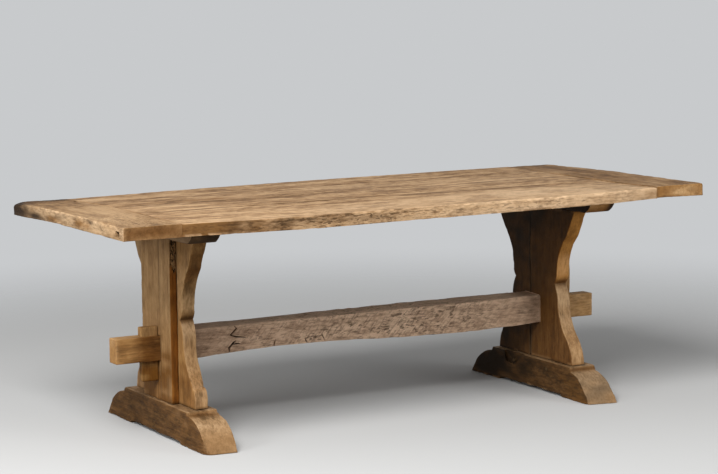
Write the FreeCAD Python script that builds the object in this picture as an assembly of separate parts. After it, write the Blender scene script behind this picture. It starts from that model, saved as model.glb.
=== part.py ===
import FreeCAD, Part
import math
import os

# Trestle dining table in heavy old oak: a plank top with breadboard ends on two shaped trestles,
# tied by one long stretcher whose through-tenons are locked outside the trestles by removable keys.
# Millimetres. +X runs along the table, the front is -Y, +Z is up.
# The origin is on the floor under the middle of the top.

# Whole table
table_height = 770.0
plank_length = 1820.0
breadboard_width = 200.0
top_thickness = 42.0

# Planks of the top, from the front edge to the rear edge
front_plank_width = 340.0
second_plank_width = 205.0
third_plank_width = 215.0
rear_plank_width = 220.0
top_edge_round = 4.0

# Tongues on the plank ends, housed in the breadboards
end_tongue_length = 26.0
end_tongue_thickness = 14.0
end_tongue_setback = 30.0
breadboard_peg_diameter = 10.0
breadboard_peg_bite = 6.0

# Loose tongues in the seams between the planks
loose_tongue_width = 30.0
loose_tongue_thickness = 10.0
loose_tongue_setback = 40.0

# Old open mortise left in the end of the left breadboard
pocket_width = 30.0
pocket_height = 20.0
pocket_depth = 40.0
pocket_from_front = 34.0
pocket_above_underside = 6.0

# Trestles, measured on one of them
trestle_inset = 158.0
panel_thickness = 48.0
post_thickness = 26.0
post_width = 238.0

# Foot under each trestle
foot_length = 824.0
foot_height = 119.0
foot_inner_ledge = 25.0
foot_outer_ledge = 15.0
platform_margin = 13.0
quirk_width = 8.0
quirk_drop = 14.0
toe_bulge = 25.0
relief_length = 420.0
relief_depth = 9.0
relief_ramp = 12.0

# Bearer on each trestle, under the top
bearer_height = 49.0
bearer_length = 736.0
bearer_end_slope = 45.0
bearer_end_bulge = 8.0
bearer_inner_lip = 4.0
bearer_outer_lip = 26.0

# Outline of the panel of each trestle
panel_foot_width = 488.0
panel_waist_width = 258.0
panel_head_lead = 15.0
waist_above_foot = 284.0

# Each step of the outline is the middle and the end of one arc, as shares of the height
# and of the half width gained over the waist: from foot to waist, then from waist to head.
lower_outline_shares = (((0.15, 0.93), (0.31, 0.70)), ((0.51, 0.35), (0.76, 0.20)),
                        ((0.90, 0.13), (1.0, 0.0)))
upper_outline_shares = (((0.045, 0.075), (0.12, 0.125)), ((0.42, 0.25), (0.65, 0.60)))

# Tenons of the panel and stub tenons of the post planks
panel_tenon_cheek = 12.0
panel_tenon_length = 360.0
panel_foot_tenon = 60.0
panel_head_tenon = 34.0
post_tenon_cheek = 6.0
post_tenon_setback = 10.0
post_tenon_depth = 20.0
mortise_end_room = 1.0

# Pegs and dowels of the trestles, all shaved to the same number of flats
peg_flats = 12
foot_peg_diameter = 14.0
bearer_peg_diameter = 12.0
post_peg_diameter = 12.0
tenon_peg_spread = 220.0
tenon_peg_bite = 9.0
foot_peg_below_shoulder = 30.0
bearer_peg_above_shoulder = 17.0
post_peg_spread = 150.0
post_peg_bite = 16.0
post_peg_from_end = 50.0
panel_dowel_diameter = 12.0
panel_dowel_length = 70.0
low_dowel_below_tenon = 44.0
middle_dowel_above_waist = 50.0
high_dowel_below_bearer = 110.0

# Screws that hold the bearers to the top
screw_diameter = 8.0
screw_head_diameter = 16.0
screw_head_height = 5.0
screw_head_recess = 14.0
screw_bite = 28.0
screw_inset = 16.0
screw_wall = 6.0

# Stretcher and its keyed through-tenons
stretcher_bottom = 249.0
stretcher_height = 103.0
stretcher_width = 106.0
stretcher_camber = 7.0
tenon_thickness = 58.0
tenon_top_shoulder = 14.0
tenon_bottom_shoulder = 4.0
tenon_front_shoulder = 11.0
tenon_projection = 160.0
tenon_tip_round = 6.0

# Keys driven down through the tenons
key_top_width = 62.5
key_taper = 3.0
key_thickness = 28.0
key_above_tenon = 31.0
key_below_tenon = 70.0
key_end_chamfer = 3.0
key_gap = 0.35
slot_draw = 8.0

# Clearances
joint_gap = 0.2
peg_gap = 0.1
overrun = 5.0

# Derived places of the top
top_length = plank_length + 2 * breadboard_width
top_width = front_plank_width + second_plank_width + third_plank_width + rear_plank_width
top_underside = table_height - top_thickness
seam_middle = top_underside + top_thickness / 2
plank_widths = (front_plank_width, second_plank_width, third_plank_width, rear_plank_width)
plank_edges = [-top_width / 2 + sum(plank_widths[:count]) for count in range(len(plank_widths) + 1)]
plank_middles = [(near + far) / 2 for near, far in zip(plank_edges, plank_edges[1:])]
tongue_front = plank_edges[0] + end_tongue_setback
tongue_rear = plank_edges[-1] - end_tongue_setback

# Derived places of the trestle on the +X side
trestle_centre = plank_length / 2 - trestle_inset
foot_thickness = foot_inner_ledge + panel_thickness + post_thickness + foot_outer_ledge
foot_inner = trestle_centre - foot_thickness / 2
panel_inner = foot_inner + foot_inner_ledge
panel_outer = panel_inner + panel_thickness
post_outer = panel_outer + post_thickness
bearer_inner = panel_inner - bearer_inner_lip
bearer_outer = post_outer + bearer_outer_lip
bearer_bottom = top_underside - bearer_height
bearer_flat = bearer_length - 2 * bearer_end_slope
panel_head_width = panel_foot_width + 2 * panel_head_lead
platform_length = panel_foot_width + 2 * platform_margin
waist_height = foot_height + waist_above_foot
panel_tenon_inner = panel_inner + panel_tenon_cheek
panel_tenon_outer = panel_outer - panel_tenon_cheek

# Derived places of the stretcher joint
tenon_bottom = stretcher_bottom + tenon_bottom_shoulder
tenon_top = stretcher_bottom + stretcher_height - tenon_top_shoulder
tenon_half = tenon_thickness / 2
stretcher_front = -tenon_half - tenon_front_shoulder
tenon_tip = post_outer + tenon_projection
mortise_half = tenon_half + joint_gap
panel_seam = mortise_half
post_seam = -mortise_half
key_bottom = tenon_bottom - key_below_tenon
key_top = tenon_top + key_above_tenon
key_inner = post_outer + key_gap


def point(x, y, z):
    return FreeCAD.Vector(x, y, z)


def block(low, high):
    # A box between its lowest and its highest corner.
    size = [top - base for base, top in zip(low, high)]
    return Part.makeBox(size[0], size[1], size[2], point(*low))


def loop(points):
    # The straight edges of a closed outline.
    return [line(start, end) for start, end in zip(points, points[1:] + points[:1])]


def pin(start, direction, diameter, length):
    # A peg or its bore, shaved to flats all round; the diameter is measured across the flats.
    axis, across = point(*direction), point(direction[2], direction[0], direction[1])
    upright = axis.cross(across)
    radius = diameter / 2 / math.cos(math.pi / peg_flats)
    turns = [math.pi * (2 * number + 1) / peg_flats for number in range(peg_flats)]
    spokes = [across * math.cos(turn) + upright * math.sin(turn) for turn in turns]
    return extruded(loop([point(*start) + spoke * radius for spoke in spokes]), axis * length)


def fused(solids):
    return solids[0].fuse(solids[1:]).removeSplitter()


def mirrored(shape):
    # The same piece on the trestle at -X.
    return shape.mirror(point(0, 0, 0), point(1, 0, 0))


def bulged(start, end, bulge):
    # An arc from start to end that stands out by the bulge, to the left of the way it runs.
    chord = end - start
    side = FreeCAD.Vector(1, 0, 0).cross(chord)
    middle = (start + end) / 2 + side * (bulge / side.Length)
    return Part.Arc(start, middle, end).toShape()


def line(start, end):
    return Part.LineSegment(start, end).toShape()


def extruded(edges, depth):
    # A solid from a closed outline.
    return Part.Face(Part.Wire(edges)).extrude(depth)


def rounded(shape, radius, chosen):
    # Rounds the edges that the test picks by their middle point.
    picked = [edge for edge in shape.Edges if chosen(edge.CenterOfMass)]
    return shape.makeFillet(radius, picked)


def beyond(value, limit):
    # True where a coordinate lies on or past a limit, within rounding of the geometry kernel.
    return value > limit - FreeCAD.Base.Precision.confusion()


# Top


def end_tongue(side, front, rear):
    # Tongue on one end of a plank.
    shoulder = side * plank_length / 2
    tip = shoulder + side * end_tongue_length
    low = (min(shoulder, tip), front, seam_middle - end_tongue_thickness / 2)
    high = (max(shoulder, tip), rear, seam_middle + end_tongue_thickness / 2)
    return block(low, high)


def breadboard_peg_places(side):
    return [(side * (plank_length + end_tongue_length) / 2, middle) for middle in plank_middles]


def breadboard_pegs(side, room):
    # Pegs driven up through a breadboard and the plank tongues, stopped below the surface.
    cheek = (top_thickness - end_tongue_thickness) / 2
    length = cheek + end_tongue_thickness + breadboard_peg_bite + room
    diameter = breadboard_peg_diameter + 2 * room
    places = breadboard_peg_places(side)
    return [pin((x, y, top_underside), (0, 0, 1), diameter, length) for x, y in places]


def loose_tongue(seam, room):
    reach = plank_length / 2 - loose_tongue_setback + room
    half_width = loose_tongue_width / 2 + room
    half_thickness = loose_tongue_thickness / 2 + room
    low = (-reach, seam - half_width, seam_middle - half_thickness)
    high = (reach, seam + half_width, seam_middle + half_thickness)
    return block(low, high)


def screw_places(side):
    # One screw in each plank: near its middle, on the flat of the bearer and clear of the seams.
    reach = bearer_flat / 2 - screw_inset - screw_head_diameter / 2
    clear = loose_tongue_width / 2 + screw_diameter / 2 + screw_wall
    x = side * (bearer_outer - screw_inset)
    places = []
    for front, rear, middle in zip(plank_edges, plank_edges[1:], plank_middles):
        on_flat = max(-reach, min(reach, middle))
        places.append((x, max(front + clear, min(rear - clear, on_flat))))
    return places


def screw(x, y):
    # Coach screw with a flat seat under its head.
    seat, up = bearer_bottom + screw_head_recess, (0, 0, 1)
    head = pin((x, y, seat - screw_head_height), up, screw_head_diameter, screw_head_height)
    shank = pin((x, y, seat), up, screw_diameter, top_underside + screw_bite - seat)
    return fused([head, shank])


def screw_room(x, y):
    # Counterbore, clearance hole and pilot hole for one screw.
    start, up = (x, y, bearer_bottom), (0, 0, 1)
    head = pin(start, up, screw_head_diameter + 2 * joint_gap, screw_head_recess)
    shank = pin(start, up, screw_diameter + 2 * peg_gap, bearer_height + screw_bite + peg_gap)
    return head.fuse(shank)


def plank(number):
    front, rear = plank_edges[number], plank_edges[number + 1]
    body = block((-plank_length / 2, front, top_underside), (plank_length / 2, rear, table_height))
    if number == 0:
        body = rounded(body, top_edge_round, lambda m: beyond(-m.y, -front) and beyond(m.z, table_height))
    if number == len(plank_widths) - 1:
        body = rounded(body, top_edge_round, lambda m: beyond(m.y, rear) and beyond(m.z, table_height))
    near, far = max(front, tongue_front), min(rear, tongue_rear)
    solid = fused([body, end_tongue(-1, near, far), end_tongue(1, near, far)])
    cuts = [loose_tongue(seam, joint_gap) for seam in plank_edges[1:-1] if seam in (front, rear)]
    for side in (-1, 1):
        cuts += [breadboard_pegs(side, peg_gap)[number], screw_room(*screw_places(side)[number])]
    return solid.cut(cuts)


def breadboard(side):
    inner = side * plank_length / 2
    outer = side * top_length / 2
    low = (min(inner, outer), -top_width / 2, top_underside)
    high = (max(inner, outer), top_width / 2, table_height)
    body = rounded(block(low, high), top_edge_round, lambda m: on_breadboard_rim(m, side))
    groove_depth = end_tongue_length + mortise_end_room
    groove_half = end_tongue_thickness / 2 + joint_gap
    groove_bottom = inner + side * groove_depth
    mouth = inner - side * overrun
    groove_low = (min(mouth, groove_bottom), tongue_front - joint_gap, seam_middle - groove_half)
    groove_high = (max(mouth, groove_bottom), tongue_rear + joint_gap, seam_middle + groove_half)
    return body.cut([block(groove_low, groove_high)] + breadboard_pegs(side, peg_gap))


def on_breadboard_rim(middle, side):
    # Top edges of a breadboard on the outside of the table.
    outside = beyond(side * middle.x, top_length / 2) or beyond(abs(middle.y), top_width / 2)
    return outside and beyond(middle.z, table_height)


def old_pocket():
    # Open mortise in the end of the left breadboard, from an earlier use of the timber.
    front = -top_width / 2 + pocket_from_front
    floor = top_underside + pocket_above_underside
    end = -top_length / 2
    low = (end - overrun, front, floor)
    return block(low, (end + pocket_depth, front + pocket_width, floor + pocket_height))


# Trestle on the +X side


def foot():
    # Sled foot: a platform, a small quirk, a rounded toe at each end and a shallow relief under the middle.
    half, platform_end, relief_end = foot_length / 2, platform_length / 2, relief_length / 2
    places = [(relief_end - relief_ramp, relief_depth), (relief_end, 0), (half, 0),
              (platform_end + quirk_width, foot_height - quirk_drop), (platform_end, foot_height)]
    edges, crowns, rims = [], [], []
    for side in (-1, 1):
        crown, heel, toe, quirk, rim = [point(foot_inner, side * y, z) for y, z in places]
        edges += [line(crown, heel), line(heel, toe), bulged(toe, quirk, -side * toe_bulge), line(quirk, rim)]
        crowns.append(crown)
        rims.append(rim)
    outline = Part.__sortEdges__(edges + [line(*crowns), line(*rims)])
    solid = extruded(outline, point(foot_thickness, 0, 0))
    mouth, bed = foot_height + overrun, foot_height - mortise_end_room
    cuts = [panel_tenon_room(bed - panel_foot_tenon, mouth)]
    cuts += [post_tenon_room(span, bed - post_tenon_depth, mouth) for span in post_spans()]
    return solid.cut(cuts + foot_pegs(peg_gap))


def panel_tenon_room(low, high):
    half = panel_tenon_length / 2 + joint_gap
    return block((panel_tenon_inner - joint_gap, -half, low), (panel_tenon_outer + joint_gap, half, high))


def post_spans():
    # The front and the rear plank of the post, from side to side.
    return (-post_width / 2, post_seam), (post_seam, post_width / 2)


def post_tenon(span, low, high, room):
    inner = panel_outer + post_tenon_cheek - room
    outer = post_outer - post_tenon_cheek + room
    front = span[0] + post_tenon_setback - room
    rear = span[1] - post_tenon_setback + room
    return block((inner, front, low), (outer, rear, high))


def post_tenon_room(span, low, high):
    return post_tenon(span, low, high, joint_gap)


def post_plank(span):
    solid = block((panel_outer, span[0], foot_height), (post_outer, span[1], bearer_bottom))
    lower = post_tenon(span, foot_height - post_tenon_depth, foot_height, 0)
    upper = post_tenon(span, bearer_bottom, bearer_bottom + post_tenon_depth, 0)
    return fused([solid, lower, upper]).cut([stretcher_mortise()] + post_pegs(peg_gap))


def stretcher_mortise():
    low = (panel_inner - overrun, -mortise_half, tenon_bottom - joint_gap)
    high = (post_outer + overrun, mortise_half, tenon_top + joint_gap)
    return block(low, high)


def panel_half_outline(side):
    # Edges of one side of the panel from foot to head: an ogee up to the pinched waist, then a flare.
    waist = panel_waist_width / 2

    def place(base, height, gain, shares):
        return point(panel_inner, side * (waist + shares[1] * gain), base + shares[0] * height)

    lower_gain = panel_foot_width / 2 - waist
    upper_gain = panel_head_width / 2 - waist
    edges = []
    start = point(panel_inner, side * panel_foot_width / 2, foot_height)
    for middle, end in lower_outline_shares:
        through = place(foot_height, waist_above_foot, lower_gain, middle)
        stop = place(foot_height, waist_above_foot, lower_gain, end)
        edges.append(Part.Arc(start, through, stop).toShape())
        start = stop
    for middle, end in upper_outline_shares:
        through = place(waist_height, bearer_bottom - waist_height, upper_gain, middle)
        stop = place(waist_height, bearer_bottom - waist_height, upper_gain, end)
        edges.append(Part.Arc(start, through, stop).toShape())
        start = stop
    head = point(panel_inner, side * panel_head_width / 2, bearer_bottom)
    return edges + [line(start, head)]


def panel():
    # Both boards of the panel before they are parted at the seam.
    rear, front = panel_half_outline(1), panel_half_outline(-1)
    foot_half, head_half = panel_foot_width / 2, panel_head_width / 2
    base = line(point(panel_inner, -foot_half, foot_height), point(panel_inner, foot_half, foot_height))
    head = line(point(panel_inner, -head_half, bearer_bottom), point(panel_inner, head_half, bearer_bottom))
    outline = Part.__sortEdges__(rear + [head] + front + [base])
    body = extruded(outline, point(panel_thickness, 0, 0))
    half = panel_tenon_length / 2
    inner, outer = panel_tenon_inner, panel_tenon_outer
    low = block((inner, -half, foot_height - panel_foot_tenon), (outer, half, foot_height))
    high = block((inner, -half, bearer_bottom), (outer, half, bearer_bottom + panel_head_tenon))
    solid = fused([body, low, high])
    cuts = [stretcher_mortise()] + panel_dowels(peg_gap) + post_pegs(peg_gap)
    return solid.cut(cuts + foot_pegs(peg_gap) + bearer_pegs(peg_gap))


def panel_board(front_side):
    # One board of the panel, on the front or the rear side of the seam beside the mortise.
    reach = max(panel_foot_width, panel_head_width) / 2 + overrun
    near, far = (-reach, panel_seam) if front_side else (panel_seam, reach)
    low = (panel_inner - overrun, near, foot_height - panel_foot_tenon - overrun)
    high = (panel_outer + overrun, far, bearer_bottom + panel_head_tenon + overrun)
    return panel().common(block(low, high))


def bearer():
    half, flat, x = bearer_length / 2, bearer_flat / 2, bearer_inner
    rear_low, rear_high = point(x, flat, bearer_bottom), point(x, half, top_underside)
    front_low, front_high = point(x, -flat, bearer_bottom), point(x, -half, top_underside)
    edges = [line(front_low, rear_low), bulged(rear_low, rear_high, -bearer_end_bulge)]
    edges += [line(rear_high, front_high), bulged(front_high, front_low, -bearer_end_bulge)]
    solid = extruded(edges, point(bearer_outer - bearer_inner, 0, 0))
    mouth, roof = bearer_bottom - overrun, bearer_bottom + mortise_end_room
    cuts = [panel_tenon_room(mouth, roof + panel_head_tenon)]
    cuts += [post_tenon_room(span, mouth, roof + post_tenon_depth) for span in post_spans()]
    cuts += [screw_room(x, y) for x, y in screw_places(1)]
    return solid.cut(cuts + bearer_pegs(peg_gap))


def tenon_pegs(start, height, diameter, room):
    # Blind pegs from an inner face through the tenon of each panel board.
    length = panel_tenon_outer + tenon_peg_bite - start + room
    half = tenon_peg_spread / 2
    return [pin((start, y, height), (1, 0, 0), diameter + 2 * room, length) for y in (-half, half)]


def foot_pegs(room):
    return tenon_pegs(foot_inner, foot_height - foot_peg_below_shoulder, foot_peg_diameter, room)


def bearer_pegs(room):
    return tenon_pegs(bearer_inner, bearer_bottom + bearer_peg_above_shoulder, bearer_peg_diameter, room)


def post_pegs(room):
    # Blind pegs from the inner face of the panel into the post planks.
    half = post_peg_spread / 2
    heights = (foot_height + post_peg_from_end, bearer_bottom - post_peg_from_end)
    length = panel_thickness + post_peg_bite + room
    diameter = post_peg_diameter + 2 * room
    return [pin((panel_inner, y, z), (1, 0, 0), diameter, length) for y in (-half, half) for z in heights]


def panel_dowels(room):
    # Dowels across the seam between the two boards of the panel.
    x = panel_inner + panel_thickness / 2
    heights = (tenon_bottom - low_dowel_below_tenon, waist_height + middle_dowel_above_waist,
               bearer_bottom - high_dowel_below_bearer)
    start = panel_seam - panel_dowel_length / 2 - room
    length = panel_dowel_length + 2 * room
    return [pin((x, start, z), (0, 1, 0), panel_dowel_diameter + 2 * room, length) for z in heights]


# Stretcher and keys


def key_outer_edge(room):
    # Top and bottom of the sloped outer edge of the wedge; its inner edge is upright against the post.
    top_outer = key_inner + key_top_width + room
    return top_outer, top_outer - key_taper


def key():
    top_outer, bottom_outer = key_outer_edge(0)
    y = -key_thickness / 2
    chamfer = key_end_chamfer
    corners = [(key_inner, key_top), (key_inner, key_bottom + chamfer), (key_inner + chamfer, key_bottom)]
    corners += [(bottom_outer - chamfer, key_bottom), (bottom_outer, key_bottom + chamfer)]
    corners += [(top_outer, key_top)]
    return extruded(loop([point(x, y, z) for x, z in corners]), point(0, key_thickness, 0))


def key_slot():
    # Slot through the tenon: cut back inside the post so that the key draws the shoulders tight.
    top_outer, bottom_outer = key_outer_edge(key_gap)
    half = key_thickness / 2 + key_gap
    inner = post_outer - slot_draw
    corners = [(inner, key_top), (inner, key_bottom), (bottom_outer, key_bottom), (top_outer, key_top)]
    return extruded(loop([point(x, -half, z) for x, z in corners]), point(0, 2 * half, 0))


def stretcher():
    # Rail between the panels with a cambered underside, and a through-tenon with a key slot at each end.
    face, shoulder = stretcher_front, panel_inner
    left, right = [point(x, face, stretcher_bottom) for x in (-shoulder, shoulder)]
    rise = point(0, 0, stretcher_height)
    underside = Part.Arc(left, point(0, face, stretcher_bottom + stretcher_camber), right).toShape()
    sides = [line(left, left + rise), line(left + rise, right + rise), line(right + rise, right)]
    rail = extruded(Part.__sortEdges__([underside] + sides), point(0, stretcher_width, 0))
    tenon = block((shoulder, -tenon_half, tenon_bottom), (tenon_tip, tenon_half, tenon_top))
    tenon = rounded(tenon, tenon_tip_round, on_tenon_tip)
    tenon = tenon.cut(key_slot())
    return fused([rail, tenon, mirrored(tenon)])


def on_tenon_tip(middle):
    # Upper and lower edges of the end of the tenon.
    return beyond(middle.x, tenon_tip) and not beyond(abs(middle.y), tenon_half)


# Nodes


def group(solids):
    return Part.makeCompound(solids)


def top_nodes():
    nodes = {"top_plank_%d" % (number + 1): plank(number) for number in range(len(plank_widths))}
    for number, seam in enumerate(plank_edges[1:-1]):
        nodes["loose_tongue_%d" % (number + 1)] = loose_tongue(seam, 0)
    nodes["left_breadboard"] = breadboard(-1).cut(old_pocket())
    nodes["right_breadboard"] = breadboard(1)
    nodes["left_breadboard_pegs"] = group(breadboard_pegs(-1, 0))
    nodes["right_breadboard_pegs"] = group(breadboard_pegs(1, 0))
    return nodes


def trestle_nodes():
    front_span, rear_span = post_spans()
    pieces = {"foot": foot(), "bearer": bearer(), "panel_front_board": panel_board(True),
              "panel_rear_board": panel_board(False), "post_front_plank": post_plank(front_span),
              "post_rear_plank": post_plank(rear_span), "foot_pegs": group(foot_pegs(0)),
              "bearer_pegs": group(bearer_pegs(0)), "post_pegs": group(post_pegs(0)),
              "panel_dowels": group(panel_dowels(0)),
              "bearer_screws": group([screw(x, y) for x, y in screw_places(1)]), "key": key()}
    nodes = {"right_" + name: shape for name, shape in pieces.items()}
    nodes.update({"left_" + name: mirrored(shape) for name, shape in pieces.items()})
    return nodes


os.makedirs("parts", exist_ok=True)
nodes = {"stretcher": stretcher()}
nodes.update(top_nodes())
nodes.update(trestle_nodes())
for name, shape in nodes.items():
    shape.exportStep("parts/" + name + ".step")
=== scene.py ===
import itertools
import math
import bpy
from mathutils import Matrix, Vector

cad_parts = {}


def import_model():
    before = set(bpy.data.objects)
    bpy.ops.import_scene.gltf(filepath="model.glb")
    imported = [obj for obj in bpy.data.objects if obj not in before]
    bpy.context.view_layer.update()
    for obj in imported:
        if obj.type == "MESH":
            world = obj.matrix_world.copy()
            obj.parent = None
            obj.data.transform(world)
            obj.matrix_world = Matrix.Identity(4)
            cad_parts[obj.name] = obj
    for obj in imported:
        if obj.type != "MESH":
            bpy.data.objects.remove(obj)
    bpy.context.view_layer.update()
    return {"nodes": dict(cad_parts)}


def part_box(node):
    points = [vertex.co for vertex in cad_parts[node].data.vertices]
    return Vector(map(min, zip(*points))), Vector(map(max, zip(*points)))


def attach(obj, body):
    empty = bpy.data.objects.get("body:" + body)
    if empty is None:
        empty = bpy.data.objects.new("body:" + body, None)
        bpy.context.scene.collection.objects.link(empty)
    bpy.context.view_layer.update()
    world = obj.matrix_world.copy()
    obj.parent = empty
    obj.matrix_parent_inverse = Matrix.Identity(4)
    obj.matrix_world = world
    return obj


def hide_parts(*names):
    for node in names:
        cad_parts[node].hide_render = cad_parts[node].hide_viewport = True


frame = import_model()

from types import SimpleNamespace

import bmesh
import bpy
import numpy as np
from mathutils import Matrix, Vector

# Looks of a heavy old oak trestle table: each timber is rebuilt with worn arrises, hollows and splits.
# Metres, in the frame of the solids: +X along the table, the front is -Y, +Z is up.

# Camera of the photograph
image_width_px = 718
focal_length_px = 2256.353
sensor_width_mm = 36.0
camera_place = Vector((-3.77550, -6.88797, 1.60520))
camera_yaw = math.radians(28.63441)
camera_pitch = math.radians(-7.21082)
camera_roll = math.radians(-0.67792)

# Panel outline: widths, waist and the arcs between them as shares, middle and end of each arc
panel_waist_half = 0.129
left_front_waist_half = 0.137
panel_foot_half = 0.244
panel_head_half = 0.259
waist_above_foot = 0.284
lower_outline_shares = (((0.15, 0.93), (0.31, 0.70)), ((0.51, 0.35), (0.76, 0.20)),
                        ((0.90, 0.13), (1.0, 0.0)))
upper_outline_shares = (((0.045, 0.075), (0.12, 0.125)), ((0.42, 0.25), (0.65, 0.60)))
# How much thicker than the solids the old panels are, on their -X and +X faces
panel_growth = {"left": (0.0, 0.002), "right": (0.003, 0.005)}

# Foot and bearer outlines
platform_half = 0.257
# Toes: how much shorter than the solid, the steps below the platform (out and down), and the bulge
far_toe = (0.0, ((0.008, 0.014),), 0.025)
near_toes = {"left": (-0.002, ((0.005, 0.008), (0.040, 0.014)), 0.024),
             "right": (0.014, ((0.009, 0.017),), 0.020)}
# How far each near toe is worn back on its left side, and the radius of that corner in plan
toe_wear = {"left": (0.010, 0.034), "right": (0.022, 0.014)}
relief_half = 0.210
relief_depth = 0.009
relief_ramp = 0.012
bearer_end_slope = 0.045
bearer_end_bulge = 0.008

# Stretcher, tenon and key
stretcher_height = 0.103
# Worn underside of the stretcher: shares of its half length, and heights above the solid's lowest point
underside_points = ((-1.0, -0.005), (-0.64, 0.0085), (0.0, 0.0030), (0.69, -0.0080), (1.0, -0.0015))
# Its rear upper edge rises over this length, left of the middle
rear_edge_rise = 0.004
rear_edge_run = 0.40
tenon_side = 0.029
tenon_bottom_shoulder = 0.004
tenon_top_shoulder = 0.014
tenon_tip_round = 0.004
tenon_overlap = 0.002
slot_draw = 0.008
slot_room = 0.0008
key_room = 0.0005
key_taper = 0.003
mortise_gap = 0.0015
screw_seat_above_bearer = 0.014

# Pocket cut in the left end of the top
pocket_from_front = 0.034
pocket_width = 0.030
pocket_above_underside = 0.006
pocket_height = 0.020
pocket_depth = 0.040

# Steps around each rounded corner, and how far cutters reach past the faces they open
corner_steps = 4
cut_past = 0.01
# Edges that turn by more than these angles stay crisp
timber_crease = math.radians(50)
peg_crease = math.radians(25)
screw_crease = math.radians(35)
# Ways in which marked faces are turned
to_front = (0, -1, 0)
to_left = (-1, 0, 0)
upward = (0, 0, 1)
downward = (0, 0, -1)

# Pegs and screws, the screws as shares of their head's diameter
peg_chamfer = 0.0014
peg_tip_share = 0.72
peg_flats = 8
screw_head_height_share = 0.31
screw_shank_share = 0.5
screw_slot_share = 0.14

# Unevenness of old timber: lengths of its waves and chips along the arrises, the share of those waves, and
# sizes of the waves and flakes of its faces along, across and through the grain
arris_wave = 0.06
arris_chip = 0.026
arris_wave_share = 0.45
long_wave = (0.24, 0.07, 0.07)
short_wave = (0.09, 0.028, 0.028)
flake_size = (0.045, 0.012, 0.012)
# Sizes of the gaps in the dirt of seams and of the ragged edges of marks
dirt_gap_size = (0.13, 0.13, 0.13)
ragged_size = (0.05, 0.05, 0.025)
worn_width = 0.013
seam_dirt_width = 0.0032

# Wear of this table. Its planks and ends run into each other a little, and the left end hangs lower
end_overlap = 0.0015
end_belly = 0.003
# A long splinter is gone from the left panel's inner front arris, above a low step
step_height = 0.184
step_depth = 0.014
step_lip = 0.006
step_fade = 0.050
step_run = 0.003
step_reach = 0.013
# A flake is gone from the right foot's inner arris: its outline in Y and Z
flake_outline = ((0.180, 0.130), (0.164, 0.077), (0.108, 0.073), (0.046, 0.112), (0.046, 0.130))
flake_depth = 0.009
# Cracks of the stretcher's front face: routes in X and Z, and their widths
stretcher_cracks = (
    (((-0.522, 0.347), (-0.514, 0.338), (-0.537, 0.317), (-0.514, 0.309), (-0.478, 0.304)), 0.0075),
    (((-0.517, 0.296), (-0.527, 0.289), (-0.543, 0.273), (-0.541, 0.250)), 0.0080),
    (((-0.500, 0.284), (-0.516, 0.286), (-0.534, 0.283)), 0.0050),
    (((-0.366, 0.286), (-0.372, 0.273), (-0.369, 0.256)), 0.0050),
    (((-0.252, 0.279), (-0.246, 0.268), (-0.240, 0.254)), 0.0046),
    (((-0.186, 0.290), (-0.181, 0.278), (-0.173, 0.262)), 0.0044),
)
crack_depth = 0.014
# Patch eaten by worms near the head of the left post: from its side edges and below its head
eaten_from_edges = (0.004, 0.001)
eaten_below_head = (0.115, 0.008)
# Sag of the top's rear, which starts at a place across the table and grows by a power towards the left
rear_sag_at_right = -0.0010
rear_sag_at_joint = 0.0105
rear_sag_power = 2.5
front_of_sag = 0.08
left_end_lift = 0.001
# The front of the right joint stands proud, with this reach
front_rise = 0.005
front_rise_reach = (0.13, 0.16, 0.08)
# Places along the front edge, lengths and depths of its two shallow sags, and their reach inwards and up
front_sags = ((-0.50, 0.35, 0.007), (0.15, 0.45, 0.004))
front_sag_reach = (0.12, 0.06)
# Lift of the right end, full in front of a place across the table, with the shares at the joint and below
right_end_lift = 0.008
full_lift_from = 0.02
lift_at_joint = 0.35
lift_of_underside = 0.5

# Marks on the planks of the top: kind, place along and across the table, reach along and across, strength
top_marks = (
    ("stain", -0.62, 0.11, 0.30, 0.045, 0.70), ("stain", -0.37, 0.03, 0.20, 0.050, 0.40),
    ("stain", -0.28, -0.09, 0.14, 0.040, 0.40), ("stain", 0.42, 0.12, 0.22, 0.022, 0.30),
    ("stain", 0.10, 0.33, 0.55, 0.035, 0.30), ("stain", 0.72, 0.42, 0.20, 0.060, 0.40),
    ("stain", -0.455, 0.40, 0.10, 0.035, 0.50), ("stain", 0.55, -0.16, 0.22, 0.014, 0.35),
    ("raw", 0.35, 0.02, 0.50, 0.05, 0.25), ("raw", 0.08, 0.17, 0.16, 0.06, 0.50),
    ("raw", 0.62, 0.11, 0.14, 0.07, 0.35), ("raw", 0.50, -0.31, 0.36, 0.10, 0.90),
    ("raw", 0.76, -0.43, 0.16, 0.07, 0.60), ("raw", -0.20, -0.36, 0.18, 0.08, 0.45),
)
# Marks on the front edge: kind, place along the table and above the top's underside, reach along and up,
# strength
front_edge_marks = (
    ("stain", -0.95, 0.021, 0.30, 0.06, 1.7), ("dirt", -0.86, 0.021, 0.16, 0.05, 0.22),
    ("dirt", -0.705, 0.021, 0.045, 0.030, 0.45), ("dirt", -0.56, 0.025, 0.07, 0.030, 0.22),
    ("stain", 0.888, 0.024, 0.030, 0.020, 0.45), ("raw", 0.10, 0.009, 0.05, 0.014, 0.50),
    ("raw", 0.42, 0.0, 0.05, 0.012, 0.80), ("raw", 0.78, 0.009, 0.035, 0.014, 0.60),
    ("stain", -0.42, 0.017, 0.30, 0.022, 0.4), ("raw", -0.30, 0.010, 0.22, 0.016, 0.35),
    ("raw", 0.30, 0.0, 0.25, 0.014, 0.60), ("dirt", -0.47, 0.023, 0.16, 0.010, 0.4),
    ("dirt", -0.24, 0.015, 0.10, 0.007, 0.3), ("rough", -0.38, 0.021, 0.36, 0.04, 1.3),
    ("rough", 0.35, 0.017, 0.40, 0.016, 0.55), ("raw", 0.52, 0.021, 0.50, 0.03, 0.55),
    ("raw", 0.84, 0.021, 0.16, 0.03, 0.30),
)
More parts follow.
